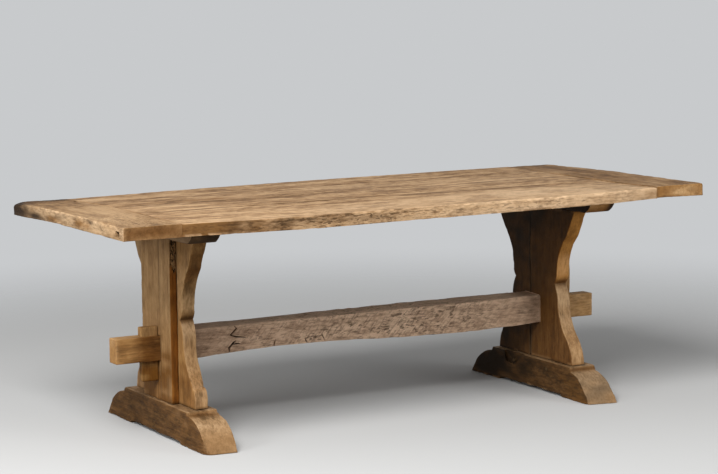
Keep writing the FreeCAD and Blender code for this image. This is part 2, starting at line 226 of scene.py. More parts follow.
# Marks on the front of the right end, in the same way
right_end_marks = (
    ("raw", 1.04, 0.022, 0.07, 0.024, 1.1), ("dirt", 0.945, 0.004, 0.030, 0.008, 0.9),
    ("dirt", 1.055, 0.030, 0.010, 0.007, 0.6), ("stain", 0.935, 0.036, 0.030, 0.012, 0.4),
    ("stain", 1.010, 0.008, 0.035, 0.008, 0.6), ("stain", 1.085, 0.020, 0.012, 0.02, 0.5),
)
# How deep marks on a flat face reach into the wood
top_mark_depth = 0.01
edge_mark_depth = 0.02


# Small tools for points

# Large odd numbers that scramble the knots of random fields
knot_mixers = (73856093, 19349663, 83492791)
seed_mixer = 2654435761
shifts_and_mixers = ((15, 2246822519), (13, 3266489917))


def smooth(value):
    # A soft step from 0 to 1.
    held = np.clip(value, 0.0, 1.0)
    return held * held * (3.0 - 2.0 * held)


def field(points, pitch, seed):
    # Smooth random values from -1 to 1 with one knot per pitch.
    scaled = np.asarray(points, float) / np.asarray(pitch, float)
    cell = np.floor(scaled).astype(np.int64)
    part = smooth(scaled - cell)
    total = np.zeros(len(scaled))
    for corner in itertools.product((0, 1), repeat=3):
        knot = cell + np.array(corner)
        mixed = np.bitwise_xor.reduce(knot * np.array(knot_mixers), axis=1) ^ seed * seed_mixer
        for shift, mixer in shifts_and_mixers:
            mixed = (mixed ^ (mixed >> shift)) * mixer & 0xFFFFFFFF
        value = (mixed >> 8 & 0xFFFF) / 32767.5 - 1.0
        total += value * np.prod(np.where(corner, part, 1.0 - part), axis=1)
    return total


def to_world(points, axis):
    # From (along, across, across) of a timber to (x, y, z).
    return np.roll(points, axis, axis=1)


def to_timber(points, axis):
    return np.roll(points, -axis, axis=1)


def arc(start, through, end, count):
    # Points of the circle through three points, from start to end.
    (ax, ay), (bx, by), (cx, cy) = start, through, end
    twice = 2 * (ax * (by - cy) + bx * (cy - ay) + cx * (ay - by))
    a2, b2, c2 = ax * ax + ay * ay, bx * bx + by * by, cx * cx + cy * cy
    ox = (a2 * (by - cy) + b2 * (cy - ay) + c2 * (ay - by)) / twice
    oy = (a2 * (cx - bx) + b2 * (ax - cx) + c2 * (bx - ax)) / twice
    radius = math.hypot(ax - ox, ay - oy)
    first, middle, last = (math.atan2(y - oy, x - ox) for x, y in (start, through, end))
    turn = (last - first) % (2 * math.pi)
    if (middle - first) % (2 * math.pi) > turn:
        turn -= 2 * math.pi
    angles = first + turn * np.linspace(0, 1, count)
    return np.stack([ox + radius * np.cos(angles), oy + radius * np.sin(angles)], axis=1)


def bulged(start, end, bulge, count):
    # An arc that stands out from its chord, to the left of the way from start to end.
    chord = np.subtract(end, start)
    side = np.array([-chord[1], chord[0]]) / np.hypot(*chord)
    return arc(start, tuple(np.add(start, end) / 2 + side * bulge), end, count)


# Timbers: rings of points along the grain, closed at both ends

timbers = {}


def end_steps(radius):
    # How far from the end, how far in and how tilted the rings of a rounded end are.
    tilt = np.linspace(math.pi / 2, 0, corner_steps + 1)
    return radius * (1 - np.sin(tilt)), radius * (1 - np.cos(tilt)), tilt


def ring_points(limits, radii, cells):
    # Rounded rectangles with their outward directions: arrays of rings by points by 2.
    low_a, high_a, low_b, high_b = limits
    half = corner_steps // 2
    centres = [(low_a + radii[0], low_b + radii[0]), (high_a - radii[1], low_b + radii[1]),
               (high_a - radii[2], high_b - radii[2]), (low_a + radii[3], high_b - radii[3])]
    points, outward = [], []

    def on_corner(corner, angle):
        a, b = centres[corner]
        return np.stack([a + radii[corner] * math.cos(angle), b + radii[corner] * math.sin(angle)], axis=1)

    def add(place, angle):
        points.append(place)
        outward.append((math.cos(angle), math.sin(angle)))

    for side in range(4):
        following = (side + 1) % 4
        square = math.pi * (1.5 + side / 2)
        for step in range(half):
            angle = square - math.pi / 4 * (1 - step / half)
            add(on_corner(side, angle), angle)
        start, stop = on_corner(side, square), on_corner(following, square)
        for step in range(cells[side % 2]):
            add(start + (stop - start) * step / cells[side % 2], square)
        for step in range(half):
            angle = square + math.pi / 4 * step / half
            add(on_corner(following, angle), angle)
    return np.stack(points, axis=1), np.array(outward)


def end_grid(ring, sides):
    # Points across a closed end, from the four sides of its ring.
    across, up = sides
    loop = np.concatenate([ring, ring[:1]])
    bottom, right = loop[:across + 1], loop[across:across + up + 1]
    top = loop[across + up:2 * across + up + 1][::-1]
    left = loop[2 * across + up:][::-1]
    u = np.linspace(0, 1, across + 1)[:, None, None]
    v = np.linspace(0, 1, up + 1)[None, :, None]
    ruled = (1 - v) * bottom[:, None] + v * top[:, None] + (1 - u) * left[None] + u * right[None]
    corners = ((1 - u) * (1 - v) * bottom[0] + u * (1 - v) * bottom[-1]
               + (1 - u) * v * top[0] + u * v * top[-1])
    return ruled - corners


def end_numbers(first_in_ring, ring_size, sides, first_new):
    # The vertex numbers of such a grid: its rim from the ring, the rest new.
    across, up = sides
    ring = np.concatenate([np.arange(ring_size), [0]]) + first_in_ring
    numbers = np.zeros((across + 1, up + 1), int)
    numbers[1:-1, 1:-1] = first_new + np.arange((across - 1) * (up - 1)).reshape(across - 1, up - 1)
    numbers[:, 0] = ring[:across + 1]
    numbers[-1, :] = ring[across:across + up + 1]
    numbers[:, -1] = ring[across + up:2 * across + up + 1][::-1]
    numbers[0, :] = ring[2 * across + up:][::-1]
    return numbers


def quads(numbers):
    corners = numbers[:-1, :-1], numbers[1:, :-1], numbers[1:, 1:], numbers[:-1, 1:]
    return np.stack(corners, axis=-1).reshape(-1, 4)


def rings_along(ends, end_round, pitch, extra):
    # Places of the rings of a timber, how far in each one lies and how far it tilts to an end.
    start, end = ends
    depth, inset, tilt = end_steps(end_round)
    count = max(2, round((end - start - 2 * end_round) / pitch))
    inner = np.linspace(start + end_round, end - end_round, count + 1)[1:-1]
    wanted = [place for place in extra if start + end_round < place < end - end_round]
    inner = np.unique(np.concatenate([inner, wanted]).round(5))
    flat = np.zeros(len(inner))
    along = np.concatenate([start + depth, inner, end - depth[::-1]])
    return along, np.concatenate([inset, flat, inset[::-1]]), np.concatenate([-tilt, flat, tilt[::-1]])


def worn_radii(along, arris, chips, least, seed):
    # Radii of the four arrises along a timber: unevenly worn, and chipped here and there.
    radii = []
    for corner in range(4):
        places = np.stack([along, np.full_like(along, corner * 7.0), np.zeros_like(along)], axis=1)
        worn = arris[corner] * (1 + arris_wave_share * field(places, (arris_wave, 1, 1), seed + 11))
        reach = chips[corner](along) if callable(chips[corner]) else chips[corner]
        bite = reach * smooth((field(places, (arris_chip, 1, 1), seed + 12) - 0.15) / 0.5)
        radii.append(np.minimum(worn + bite, 0.42 * least))
    return radii


def closed(points, normals, sides):
    # Rings of points as one list with their directions and faces, closed by a grid at each end.
    count, ring_size = points.shape[:2]
    ring_numbers = np.arange(count * ring_size).reshape(count, ring_size)
    wrapped = np.concatenate([ring_numbers, ring_numbers[:, :1]], axis=1)
    faces = [quads(wrapped.T)]
    parts = [points.reshape(-1, 3)]
    directions = [normals.reshape(-1, 3)]
    total = len(parts[0])
    for which, sign in ((0, -1.0), (count - 1, 1.0)):
        grid = end_grid(points[which], sides)[1:-1, 1:-1].reshape(-1, 3)
        numbers = end_numbers(which * ring_size, ring_size, sides, total)
        faces.append(quads(numbers) if sign > 0 else quads(numbers)[:, ::-1])
        parts.append(grid)
        directions.append(np.tile((sign, 0.0, 0.0), (len(grid), 1)))
        total += len(grid)
    return np.concatenate(parts), np.concatenate(directions), np.concatenate(faces)


def weathered(points, normals, swell, hewn, seed):
    # Points worn in along their directions, by long waves and by small flakes.
    wave = field(points, long_wave, seed) + 0.4 * field(points, short_wave, seed + 1)
    flakes = field(points, flake_size, seed + 2)
    return points + normals * (swell * 0.5 * (wave - 1.4) + hewn * 0.5 * (flakes - 1))[:, None]


def linked(name, data):
    # A new object in the scene.
    piece = bpy.data.objects.new(name, data)
    bpy.context.scene.collection.objects.link(piece)
    return piece


def new_piece(name, points, faces):
    mesh = bpy.data.meshes.new(name)
    mesh.from_pydata(points, [], faces)
    return linked(name, mesh)


def timber(name, axis, ends, limits, arris, seed, pitch=0.012, chips=(0, 0, 0, 0), end_round=0.003,
           swell=0.0008, extra=(), cell=0.012, hewn=0.0):
    # A worn length of timber. limits gives the four sides of its section at places along the grain. arris
    # and chips hold the radii of its four long edges and how deep they are chipped, pitch and cell the
    # lengths of its faces along and across, swell and hewn how far its waves and flakes go in.
    along, inset, tilt = rings_along(ends, end_round, pitch, extra)
    low_a, high_a, low_b, high_b = [np.broadcast_to(side, along.shape) for side in limits(along)]
    inset = np.minimum(inset, 0.4 * np.minimum(high_a - low_a, high_b - low_b))
    sides_now = low_a + inset, high_a - inset, low_b + inset, high_b - inset
    least = np.minimum(sides_now[1] - sides_now[0], sides_now[3] - sides_now[2])
    radii = worn_radii(along, arris, chips, least, seed)
    widths = float(np.max(high_a - low_a)), float(np.max(high_b - low_b))
    cells = [max(2, round(width / cell)) for width in widths]
    rings, outward = ring_points(sides_now, radii, cells)
    column = rings.shape[:2] + (1,)
    points = np.concatenate([np.broadcast_to(along[:, None, None], column), rings], axis=2)
    lean = np.cos(tilt)[:, None, None] * outward[None]
    normals = np.concatenate([np.broadcast_to(np.sin(tilt)[:, None, None], column), lean], axis=2)
    points, normals, faces = closed(points, normals, [count + corner_steps for count in cells])
    points = weathered(points, normals, swell, hewn, seed)
    timbers[name] = {"axis": axis, "ends": ends, "limits": limits, "seed": seed,
                     "worn_in": 1.1 * swell + hewn}
    return new_piece(name, to_world(points, axis).tolist(), faces.tolist())


def places_of(mesh):
    places = np.empty(len(mesh.vertices) * 3)
    mesh.vertices.foreach_get("co", places)
    return places.reshape(-1, 3)


def move_points(piece, shift):
    # Moves each point of a piece by what the rule gives for its place.
    places = places_of(piece.data)
    piece.data.vertices.foreach_set("co", (places + shift(places)).ravel())
    piece.data.update()


def shifts(places, x=0.0, y=0.0, z=0.0):
    # One shift per place, from its parts along the three axes.
    return np.stack(np.broadcast_arrays(np.zeros(len(places)), x, y, z)[1:], axis=1)


def dent(piece, centre, spread, depth):
    # A soft hollow: points near the centre go by the depth vector.
    def shift(places):
        near = np.exp(-np.sum(((places - centre) / spread) ** 2, axis=1))
        return near[:, None] * np.array(depth)
    move_points(piece, shift)


def settled(piece, modifier):
    # Makes the result of a modifier the piece's own mesh, and drops the modifier.
    shown = piece.evaluated_get(bpy.context.evaluated_depsgraph_get())
    result = bpy.data.meshes.new_from_object(shown)
    piece.modifiers.remove(modifier)
    piece.data = result


def carve(piece, cutter):
    # Cuts one shape out of a piece and throws the cutter away.
    cut = piece.modifiers.new("cut", "BOOLEAN")
    cut.operation = "DIFFERENCE"
    cut.solver = "MANIFOLD"
    cut.object = cutter
    cut.use_self = False
    settled(piece, cut)
    bpy.data.objects.remove(cutter)


def joined(name, pieces):
    # Several closed shapes as one piece.
    whole = bmesh.new()
    for piece in pieces:
        whole.from_mesh(piece.data)
    mesh = bpy.data.meshes.new(name)
    whole.to_mesh(mesh)
    whole.free()
    for piece in pieces:
        bpy.data.objects.remove(piece)
    return linked(name, mesh)


def prism(corners, axis, low, high):
    # A cutter: an outline in the two axes that follow the given one, from low to high along it.
    count = len(corners)
    points = [(low, a, b) for a, b in corners] + [(high, a, b) for a, b in corners]
    faces = [list(range(count))[::-1], list(range(count, 2 * count))]
    faces += [[n, (n + 1) % count, (n + 1) % count + count, n + count] for n in range(count)]
    piece = new_piece("cutter", to_world(np.array(points), axis).tolist(), faces)
    shape = bmesh.new()
    shape.from_mesh(piece.data)
    bmesh.ops.recalc_face_normals(shape, faces=shape.faces)
    shape.to_mesh(piece.data)
    shape.free()
    return piece


def box_cutter(low, high):
    corners = [(low[1], low[2]), (high[1], low[2]), (high[1], high[2]), (low[1], high[2])]
    return prism(corners, 0, low[0], high[0])


def round_cutter(x, y, low, high, radius):
    turns = np.linspace(0, 2 * math.pi, 33)[:-1]
    corners = [(x + radius * math.cos(turn), y + radius * math.sin(turn)) for turn in turns]
    return prism(corners, 2, low, high)


# Shader maths as plain expressions


class Wire:
    # One socket of a node tree. Sums on wires add the nodes for them.

    def __init__(self, tree, socket=None):
        self.tree = tree
        self.socket = socket

    def node(self, kind, settings=None, inputs=None, output=0):
        # Any node: its settings first, then the values or links of its sockets.
        made = self.tree.nodes.new(kind)
        for name, value in (settings or {}).items():
            if name == "stops":
                set_stops(made.color_ramp, value)
            else:
                setattr(made, name, value)
        for name, value in (inputs or {}).items():
            if isinstance(value, Wire):
                self.tree.links.new(value.socket, made.inputs[name])
            else:
                made.inputs[name].default_value = value
        return Wire(self.tree, made.outputs[output])

    def feed(self, node, wires):
        # Links wires to the named sockets of a node.
        for name, value in wires.items():
            self.tree.links.new(value.socket, node.inputs[name])

    def sum(self, operation, *values):
        return self.node("ShaderNodeMath", {"operation": operation}, dict(enumerate(values)))

    def __add__(self, other):
        return self.sum("ADD", self, other)

    def __radd__(self, other):
        return self.sum("ADD", other, self)

    def __sub__(self, other):
        return self.sum("SUBTRACT", self, other)

    def __rsub__(self, other):
        return self.sum("SUBTRACT", other, self)

    def __mul__(self, other):
        return self.sum("MULTIPLY", self, other)

    def __rmul__(self, other):
        return self.sum("MULTIPLY", other, self)

    def __truediv__(self, other):
        return self.sum("DIVIDE", self, other)

    def at_most(self, limit):
        return self.sum("MINIMUM", self, limit)

    def step(self, low, high):
        # A soft step from 0 at low to 1 at high.
        settings = {"interpolation_type": "SMOOTHSTEP"}
        return self.node("ShaderNodeMapRange", settings, {"Value": self, "From Min": low, "From Max": high})

    def parts(self):
        first = self.node("ShaderNodeSeparateColor", {}, {"Color": self})
        return [Wire(self.tree, socket) for socket in first.socket.node.outputs]

    def axes(self):
        first = self.node("ShaderNodeSeparateXYZ", {}, {"Vector": self})
        return [Wire(self.tree, socket) for socket in first.socket.node.outputs]

    def alone(self, operation):
        return self.sum(operation, self)

    def tinted(self, tint, share):
        # This colour multiplied by a tint.
        return self.node("ShaderNodeMix", {"data_type": "RGBA", "blend_type": "MULTIPLY"},
                         {0: share, 6: self, 7: (*tint, 1.0)}, 2)

    def towards(self, other, share):
        # This colour mixed with another.
        return self.node("ShaderNodeMix", {"data_type": "RGBA"}, {0: share, 6: self, 7: (*other, 1.0)}, 2)

    def scaled(self, factors):
        return self.node("ShaderNodeVectorMath", {"operation": "MULTIPLY"}, {0: self, 1: factors})

    def noise(self, size, detail=2.0, twist=0.0):
        # Noise whose features have the given sizes in metres along the three directions of this vector.
        vector = self.scaled(tuple(1.0 / length for length in size))
        inputs = {"Vector": vector, "Scale": 1.0, "Detail": detail, "Roughness": 0.55, "Distortion": twist}
        return self.node("ShaderNodeTexNoise", {}, inputs)


def set_stops(ramp, stops):
    while len(ramp.elements) < len(stops):
        ramp.elements.new(0.5)
    for element, (place, colour) in zip(ramp.elements, stops):
        element.position = place
        element.color = (*colour, 1.0)


def new_material(name):
    material = bpy.data.materials.new(name)
    material.use_nodes = True
    tree = material.node_tree
    shader = tree.nodes["Principled BSDF"]
    return material, Wire(tree), shader


# Tints of end grain and of stains, some of them painted shade, how much paler raw wood and painted light are,
# how dark hollows and dirt are, some of that dark being painted shade, and how much the wood shines
end_tint = (0.86, 0.78, 0.66)
stain_and_shade_tint = (0.335, 0.212, 0.062)
raw_and_light_gain = (0.18, 0.145, 0.105)
hollow_share = 0.42
dirt_and_shade_share = 0.20
oak_shine = 0.12


def oak_marks(wire):
    # What the attributes of a piece say about its faces.
    worn, dirt, raw = wire.node("ShaderNodeAttribute", {"attribute_name": "marks"}).parts()[:3]
    stain = wire.node("ShaderNodeAttribute", {"attribute_name": "marks"}, output=3)
    end, worm, rough = wire.node("ShaderNodeAttribute", {"attribute_name": "kinds"}).parts()[:3]
    return SimpleNamespace(worn=worn, dirt=dirt, raw=raw, stain=stain, end=end, worm=worm, rough=rough)


def oak_pattern(grain, rough, lines, ring_width):
    # The noises that the wood is made of, with features of the given sizes along, across and through it.
    across, through = grain.axes()[1:]
    depth = (across * across + through * through).alone("SQRT")
    wander = grain.noise((0.50, 0.06, 0.06))
    dashes = grain.noise((0.042, 0.026, 0.026), 3.0, 0.3).step(0.42, 0.58)
    return SimpleNamespace(
        rings=((depth + (wander - 0.5) * 0.035) * (2 * math.pi / ring_width)).alone("SINE"),
        bands=grain.noise((0.34, 0.026, 0.026), 4.0, 0.6),
        fibres=grain.noise((0.11, 0.0036, 0.0036), 3.0),
        patches=grain.noise((0.24, 0.11, 0.11), 2.0, 0.5),
        mottle=grain.noise((0.075, 0.020, 0.020), 4.0, 0.4),
        flecks=grain.noise((0.024, 0.0075, 0.0075), 3.0),
        pits=grain.noise((0.030, 0.0090, 0.0075), 4.0, 0.8).step(0.55, 0.59) * rough,
        flakes=grain.noise((0.022, 0.0080, 0.0070), 3.0, 0.6).step(0.56, 0.62) * rough,
        seams=grain.noise((0.26, 0.013, 0.013), 3.0, 0.4).step(0.58, 0.64) * lines,
        dashes=(dashes - 0.5) * lines,
        pores=grain.noise((0.011, 0.0007, 0.0007), 1.0).step(0.60, 0.70))


def oak_tone(wood, marks, streaks, contrast):
    # How pale the wood is from place to place, before it was marked.
    tone = (wood.bands - 0.5) * (1.6 * streaks) + (wood.fibres - 0.5) * 0.8 + (wood.patches - 0.5) * 1.6
    tone = tone + (wood.mottle - 0.5) * 1.1 + wood.rings * 0.045
    tone = tone + (wood.flecks - 0.5) * (0.75 + marks.rough * 1.5) + wood.dashes * 0.30
    return 0.56 + tone * (contrast * (1.0 - 0.55 * marks.end))


def oak_colour(colour, wood, marks, pale, dark, fresh_and_lit, shade):
    # Wear, raw wood and painted light, end grain, pores, dark lines, flakes, stain and painted shade, and
    # pits, laid over the plain colour.
    ragged = wood.flecks.step(0.35, 0.65)
    colour = colour.towards(pale, marks.worn * (0.10 + 0.40 * ragged))
    colour = colour.towards(fresh_and_lit, marks.raw * (0.45 + 0.55 * ragged))
    colour = colour.tinted(end_tint, marks.end * (1.0 - marks.raw))
    colour = colour.towards(shade, wood.pores * (0.30 - 0.15 * marks.raw))
    colour = colour.towards(dark, wood.seams * (0.55 - 0.4 * marks.raw))
    colour = colour.towards(fresh_and_lit, wood.flakes * 0.35)
    colour = colour.tinted(stain_and_shade_tint, marks.stain * (0.84 + (wood.patches - 0.5) * 0.45))
    return colour.towards(shade, wood.pits * 0.75)


def oak(name, pale, middle, dark, streaks=1.0, contrast=1.0, scratches=0.0, lines=0.5, ring_width=0.009):
    # Old oak, whose grain and marks come from the attributes of each piece.
    material, wire, shader = new_material(name)
    grain = wire.node("ShaderNodeAttribute", {"attribute_name": "grain"}, output=1)
    marks = oak_marks(wire)
    wood = oak_pattern(grain, marks.rough, lines, ring_width)
    tone = oak_tone(wood, marks, streaks, contrast)
    fresh_and_lit = tuple(0.9 * value + gain for value, gain in zip(pale, raw_and_light_gain))
    shade = tuple(hollow_share * value for value in dark)
    colour = wire.node("ShaderNodeValToRGB", {"stops": ((0.0, dark), (0.52, middle), (1.0, pale))},
                       {"Fac": tone})
    colour = oak_colour(colour, wood, marks, pale, dark, fresh_and_lit, shade)

    cuts = 0.0
    if scratches:
        slanted = wire.node("ShaderNodeMapping", {}, {"Vector": grain, "Rotation": (0.0, 0.85, 0.0)})
        share = scratches * (0.12 + 0.88 * marks.rough)
        cuts = slanted.noise((0.040, 0.006, 0.0062), 2.0, 0.5).step(0.52, 0.64) * share
        chips = slanted.noise((0.034, 0.006, 0.0058), 2.0, 0.5).step(0.55, 0.66) * share
        colour = colour.towards(shade, cuts * 0.50)
        colour = colour.towards(fresh_and_lit, chips * 0.50)
    holes = wire.node("ShaderNodeTexVoronoi", {"feature": "F1"}, {"Vector": grain, "Scale": 130.0})
    bores = (1.0 - holes.step(0.13, 0.24)) * marks.worm
    colour = colour.towards(shade, bores * 0.75)
    # Dirt and painted shade darken towards black.
    black = (marks.dirt * (0.45 + 1.1 * wood.patches)).at_most(1.0)
    colour = colour.towards(tuple(dirt_and_shade_share * value for value in dark), black)

    height = wood.fibres * 0.6 + wood.bands * 0.3 - wood.pores * 0.5 - bores * 2.5
    height = height + wood.flecks * (0.4 + marks.rough * 2.0) - cuts * 1.2 - wood.pits * 1.6
    bump = wire.node("ShaderNodeBump", {}, {"Strength": 0.55, "Distance": 0.0016, "Height": height})
    sheen = 0.66 + (wood.flecks - 0.5) * 0.25 + marks.rough * 0.12 - marks.worn * 0.06
    wire.feed(shader, {"Base Color": colour, "Roughness": sheen, "Normal": bump})
    shader.inputs["Specular IOR Level"].default_value = oak_shine
    return material


def old_steel(name):
    # Dull screw steel with rust in its hollows.
    material, wire, shader = new_material(name)
    place = wire.node("ShaderNodeTexCoord", output=3)
    rust = place.noise((0.004, 0.004, 0.004), 4.0).step(0.42, 0.62)
    grit = place.noise((0.0008, 0.0008, 0.0008), 2.0)
    colour = wire.node("ShaderNodeMix", {"data_type": "RGBA"},
                       {0: rust, 6: (0.13, 0.125, 0.12, 1.0), 7: (0.12, 0.05, 0.022, 1.0)}, 2)
    relief = {"Strength": 0.4, "Distance": 0.0004, "Height": grit + rust * 0.6}
    wire.feed(shader, {"Base Color": colour, "Roughness": 0.38 + rust * 0.4, "Metallic": 0.85 - rust * 0.8,
                       "Normal": wire.node("ShaderNodeBump", {}, relief)})
    return material


# The oaks of the table: pale, middle and dark tones, and what sets each one apart
oak_tones = {
    "plank_oak": ((0.58, 0.385, 0.22), (0.41, 0.25, 0.126), (0.19, 0.104, 0.047)),
    "breadboard_oak": ((0.47, 0.305, 0.165), (0.325, 0.194, 0.092), (0.15, 0.08, 0.034)),
    "panel_oak": ((0.48, 0.30, 0.148), (0.335, 0.19, 0.084), (0.145, 0.077, 0.03)),
    "post_oak": ((0.52, 0.322, 0.15), (0.38, 0.22, 0.094), (0.177, 0.096, 0.037)),
    "foot_oak": ((0.44, 0.287, 0.158), (0.285, 0.172, 0.083), (0.12, 0.067, 0.028)),
    "bearer_oak": ((0.42, 0.27, 0.145), (0.285, 0.172, 0.086), (0.125, 0.070, 0.030)),
    "stretcher_oak": ((0.62, 0.43, 0.30), (0.435, 0.285, 0.188), (0.195, 0.12, 0.076)),
    "golden_oak": ((0.52, 0.30, 0.115), (0.36, 0.19, 0.068), (0.17, 0.088, 0.03)),
    "amber_oak": ((0.70, 0.34, 0.085), (0.50, 0.225, 0.052), (0.22, 0.095, 0.022)),
    "key_oak": ((0.47, 0.28, 0.105), (0.32, 0.175, 0.062), (0.14, 0.075, 0.026)),
    "peg_oak": ((0.13, 0.080, 0.038), (0.085, 0.050, 0.022), (0.04, 0.023, 0.010)),
}
oak_traits = {
    "plank_oak": {"contrast": 1.4, "lines": 1.0},
    "breadboard_oak": {"contrast": 1.2},
    "panel_oak": {"streaks": 0.7},
    "post_oak": {"streaks": 0.6},
    "stretcher_oak": {"scratches": 1.0, "streaks": 0.5},
    "golden_oak": {"streaks": 0.5},
    "amber_oak": {"streaks": 0.7},
    "key_oak": {"streaks": 0.6},
}
finishes = {name: oak(name, *tones, **oak_traits.get(name, {})) for name, tones in oak_tones.items()}
finishes["screw_steel"] = old_steel("screw_steel")


# Marks on a timber, and its place among the pieces


def heart_of(seed):
    # Where a timber's section lies from the heart of its tree.
    random = np.random.default_rng(seed)
    along = random.uniform(0, 9)
    across = random.uniform(-0.20, 0.20)
    return np.array([along, across, random.choice((-1, 1)) * random.uniform(0.06, 0.2)])


def directions_of(mesh):
    directions = np.empty(len(mesh.vertices) * 3)
    mesh.vertex_normals.foreach_get("vector", directions)
    return directions.reshape(-1, 3)


def mark_levels(spec, places, directions, distance, seams, spots):
    # Strength of each kind of mark at the points of a timber.
    near_a = np.minimum(distance["low_a"], distance["high_a"])
    near_b = np.minimum(distance["low_b"], distance["high_b"])
    near_end = np.minimum(distance["start"], distance["end"])
    near_side = np.minimum(near_a, near_b)
    arris = np.minimum(np.maximum(near_a, near_b), np.maximum(near_end, near_side))
    facing = to_timber(directions, spec["axis"])
    levels = {name: np.zeros(len(places)) for name in ("dirt", "raw", "stain", "worm", "rough")}
    levels["worn"] = smooth(1 - arris / worn_width)
    levels["end"] = smooth((np.abs(facing[:, 0]) - 0.5) / 0.35)
    levels["plain"] = np.ones(len(places))
    gaps = 0.6 + 0.7 * field(places, dirt_gap_size, spec["seed"] + 30)
    for seam, amount in seams.items():
        levels["dirt"] += amount * gaps * np.exp(-np.maximum(distance[seam], 0) / seam_dirt_width)
        levels["worn"] *= smooth(distance[seam] / worn_width)
    ragged = 1 + 0.6 * field(places, ragged_size, spec["seed"] + 31)
    inside = np.minimum(near_side, near_end) - spec["worn_in"]
    hollow = smooth((inside - 0.0006) / 0.002)
    for name, centre, spread, amount, *toward in spots:
        near = np.exp(-np.sum(((places - np.array(centre)) / np.array(spread)) ** 2, axis=1))
        if toward == ["inside"]:
            near = near * hollow
        elif toward:
            near = near * smooth((directions @ np.array(toward[0]) - 0.25) / 0.5)
        levels[name] += amount * near * ragged
    return levels


def marked(piece, slot, seams=None, spots=()):
    # Stores where the grain runs and where the timber is worn, dirty, raw, stained, end-cut, wormed or rough,
    # and where painted shade and painted light lie.
    # A spot is a kind of mark, its middle, its spread and its strength, and perhaps the way its faces are
    # turned, or "inside" for the walls of hollows only.
    spec = timbers[piece.name]
    mesh = piece.data
    places = places_of(mesh)
    local = to_timber(places, spec["axis"])
    start, end = spec["ends"]
    low_a, high_a, low_b, high_b = spec["limits"](np.clip(local[:, 0], start, end))
    distance = {"low_a": local[:, 1] - low_a, "high_a": high_a - local[:, 1],
                "low_b": local[:, 2] - low_b, "high_b": high_b - local[:, 2],
                "start": local[:, 0] - start, "end": end - local[:, 0]}
    levels = mark_levels(spec, places, directions_of(mesh), distance, seams or {}, spots)
    middle = np.array([0.0, np.mean(low_a + high_a) / 2, np.mean(low_b + high_b) / 2])
    grain = mesh.attributes.new("grain", "FLOAT_VECTOR", "POINT")
    grain.data.foreach_set("vector", (local - middle + heart_of(spec["seed"])).ravel())
    layers = {"marks": ("worn", "dirt", "raw", "stain"), "kinds": ("end", "worm", "rough", "plain")}
    for layer, names in layers.items():
        values = np.stack([np.clip(levels[name], 0, 1) for name in names], axis=1)
        mesh.attributes.new(layer, "FLOAT_COLOR", "POINT").data.foreach_set("color", values.ravel())
    mesh.materials.clear()
    mesh.materials.append(finishes[slot])
    mesh.polygons.foreach_set("use_smooth", np.ones(len(mesh.polygons), bool))
    mesh.set_sharp_from_angle(angle=timber_crease)


def second_finish(piece, finish, chosen):
    # Gives the chosen faces of a piece another finish.
    piece.data.materials.append(finishes[finish])
    for face in piece.data.polygons:
        if chosen(face):
            face.material_index = 1


def placed(piece, slot, *nodes, body="table"):
    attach(piece, body)
    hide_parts(*nodes)


def sides_of(node):
    # Lowest and highest corners of a solid as plain numbers.
    low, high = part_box(node)
    return np.array(low), np.array(high)


def fixed(low_a, high_a, low_b, high_b):
    # The same section all along.
    return lambda along: tuple(np.full(np.shape(along), side) for side in (low_a, high_a, low_b, high_b))


# Top

left_end_low, left_end_high = sides_of("left_breadboard")
right_end_low, right_end_high = sides_of("right_breadboard")
plank_ends = (left_end_high[0], right_end_low[0])
top_under, top_over = left_end_low[2], left_end_high[2]
top_front, top_rear = left_end_low[1], left_end_high[1]
top_left, top_right = left_end_low[0], right_end_high[0]
bearer_left = sides_of("left_bearer")[0][0]


def rear_sag(places):
    # The rear of the top is worn down, most at the left joint, and the left end bends with it.
    joint, right = plank_ends
    leftness = np.clip((right - places[:, 0]) / (right - joint), 0, 1)
    depth = rear_sag_at_right + (rear_sag_at_joint - rear_sag_at_right) * leftness ** rear_sag_power
    depth = depth - left_end_lift * smooth((joint - places[:, 0]) / (joint - top_left))
    rearness = smooth((places[:, 1] - front_of_sag) / (top_rear - front_of_sag))
    height = np.clip((places[:, 2] - top_under) / (top_over - top_under), 0, 1)
    overhang = smooth((bearer_left - places[:, 0]) / (bearer_left - joint))
    share = height + (1 - height) * overhang
    return shifts(places, z=-depth * rearness * share)


def proud_corner(piece):
    # The front of the right joint stands a little proud.
    dent(piece, (plank_ends[1], top_front, top_under), front_rise_reach, (0, 0, front_rise))


def lifted_end(places):
    # The right end has bent up, most at its front.
    out = np.clip((places[:, 0] - plank_ends[1]) / (top_right - plank_ends[1]), 0, 1)
    up = np.clip((places[:, 2] - top_under) / (top_over - top_under), 0, 1)
    frontness = smooth((top_rear - places[:, 1]) / (top_rear - full_lift_from))
    share = (lift_at_joint + (1 - lift_at_joint) * out) * (lift_of_underside + (1 - lift_of_underside) * up)
    return shifts(places, z=right_end_lift * frontness * share)


def on_front(marks):
    # Spots on the front edge of the top.
    return [(kind, (x, top_front, top_under + up), (length, edge_mark_depth, height), amount, to_front)
            for kind, x, up, length, height, amount in marks]


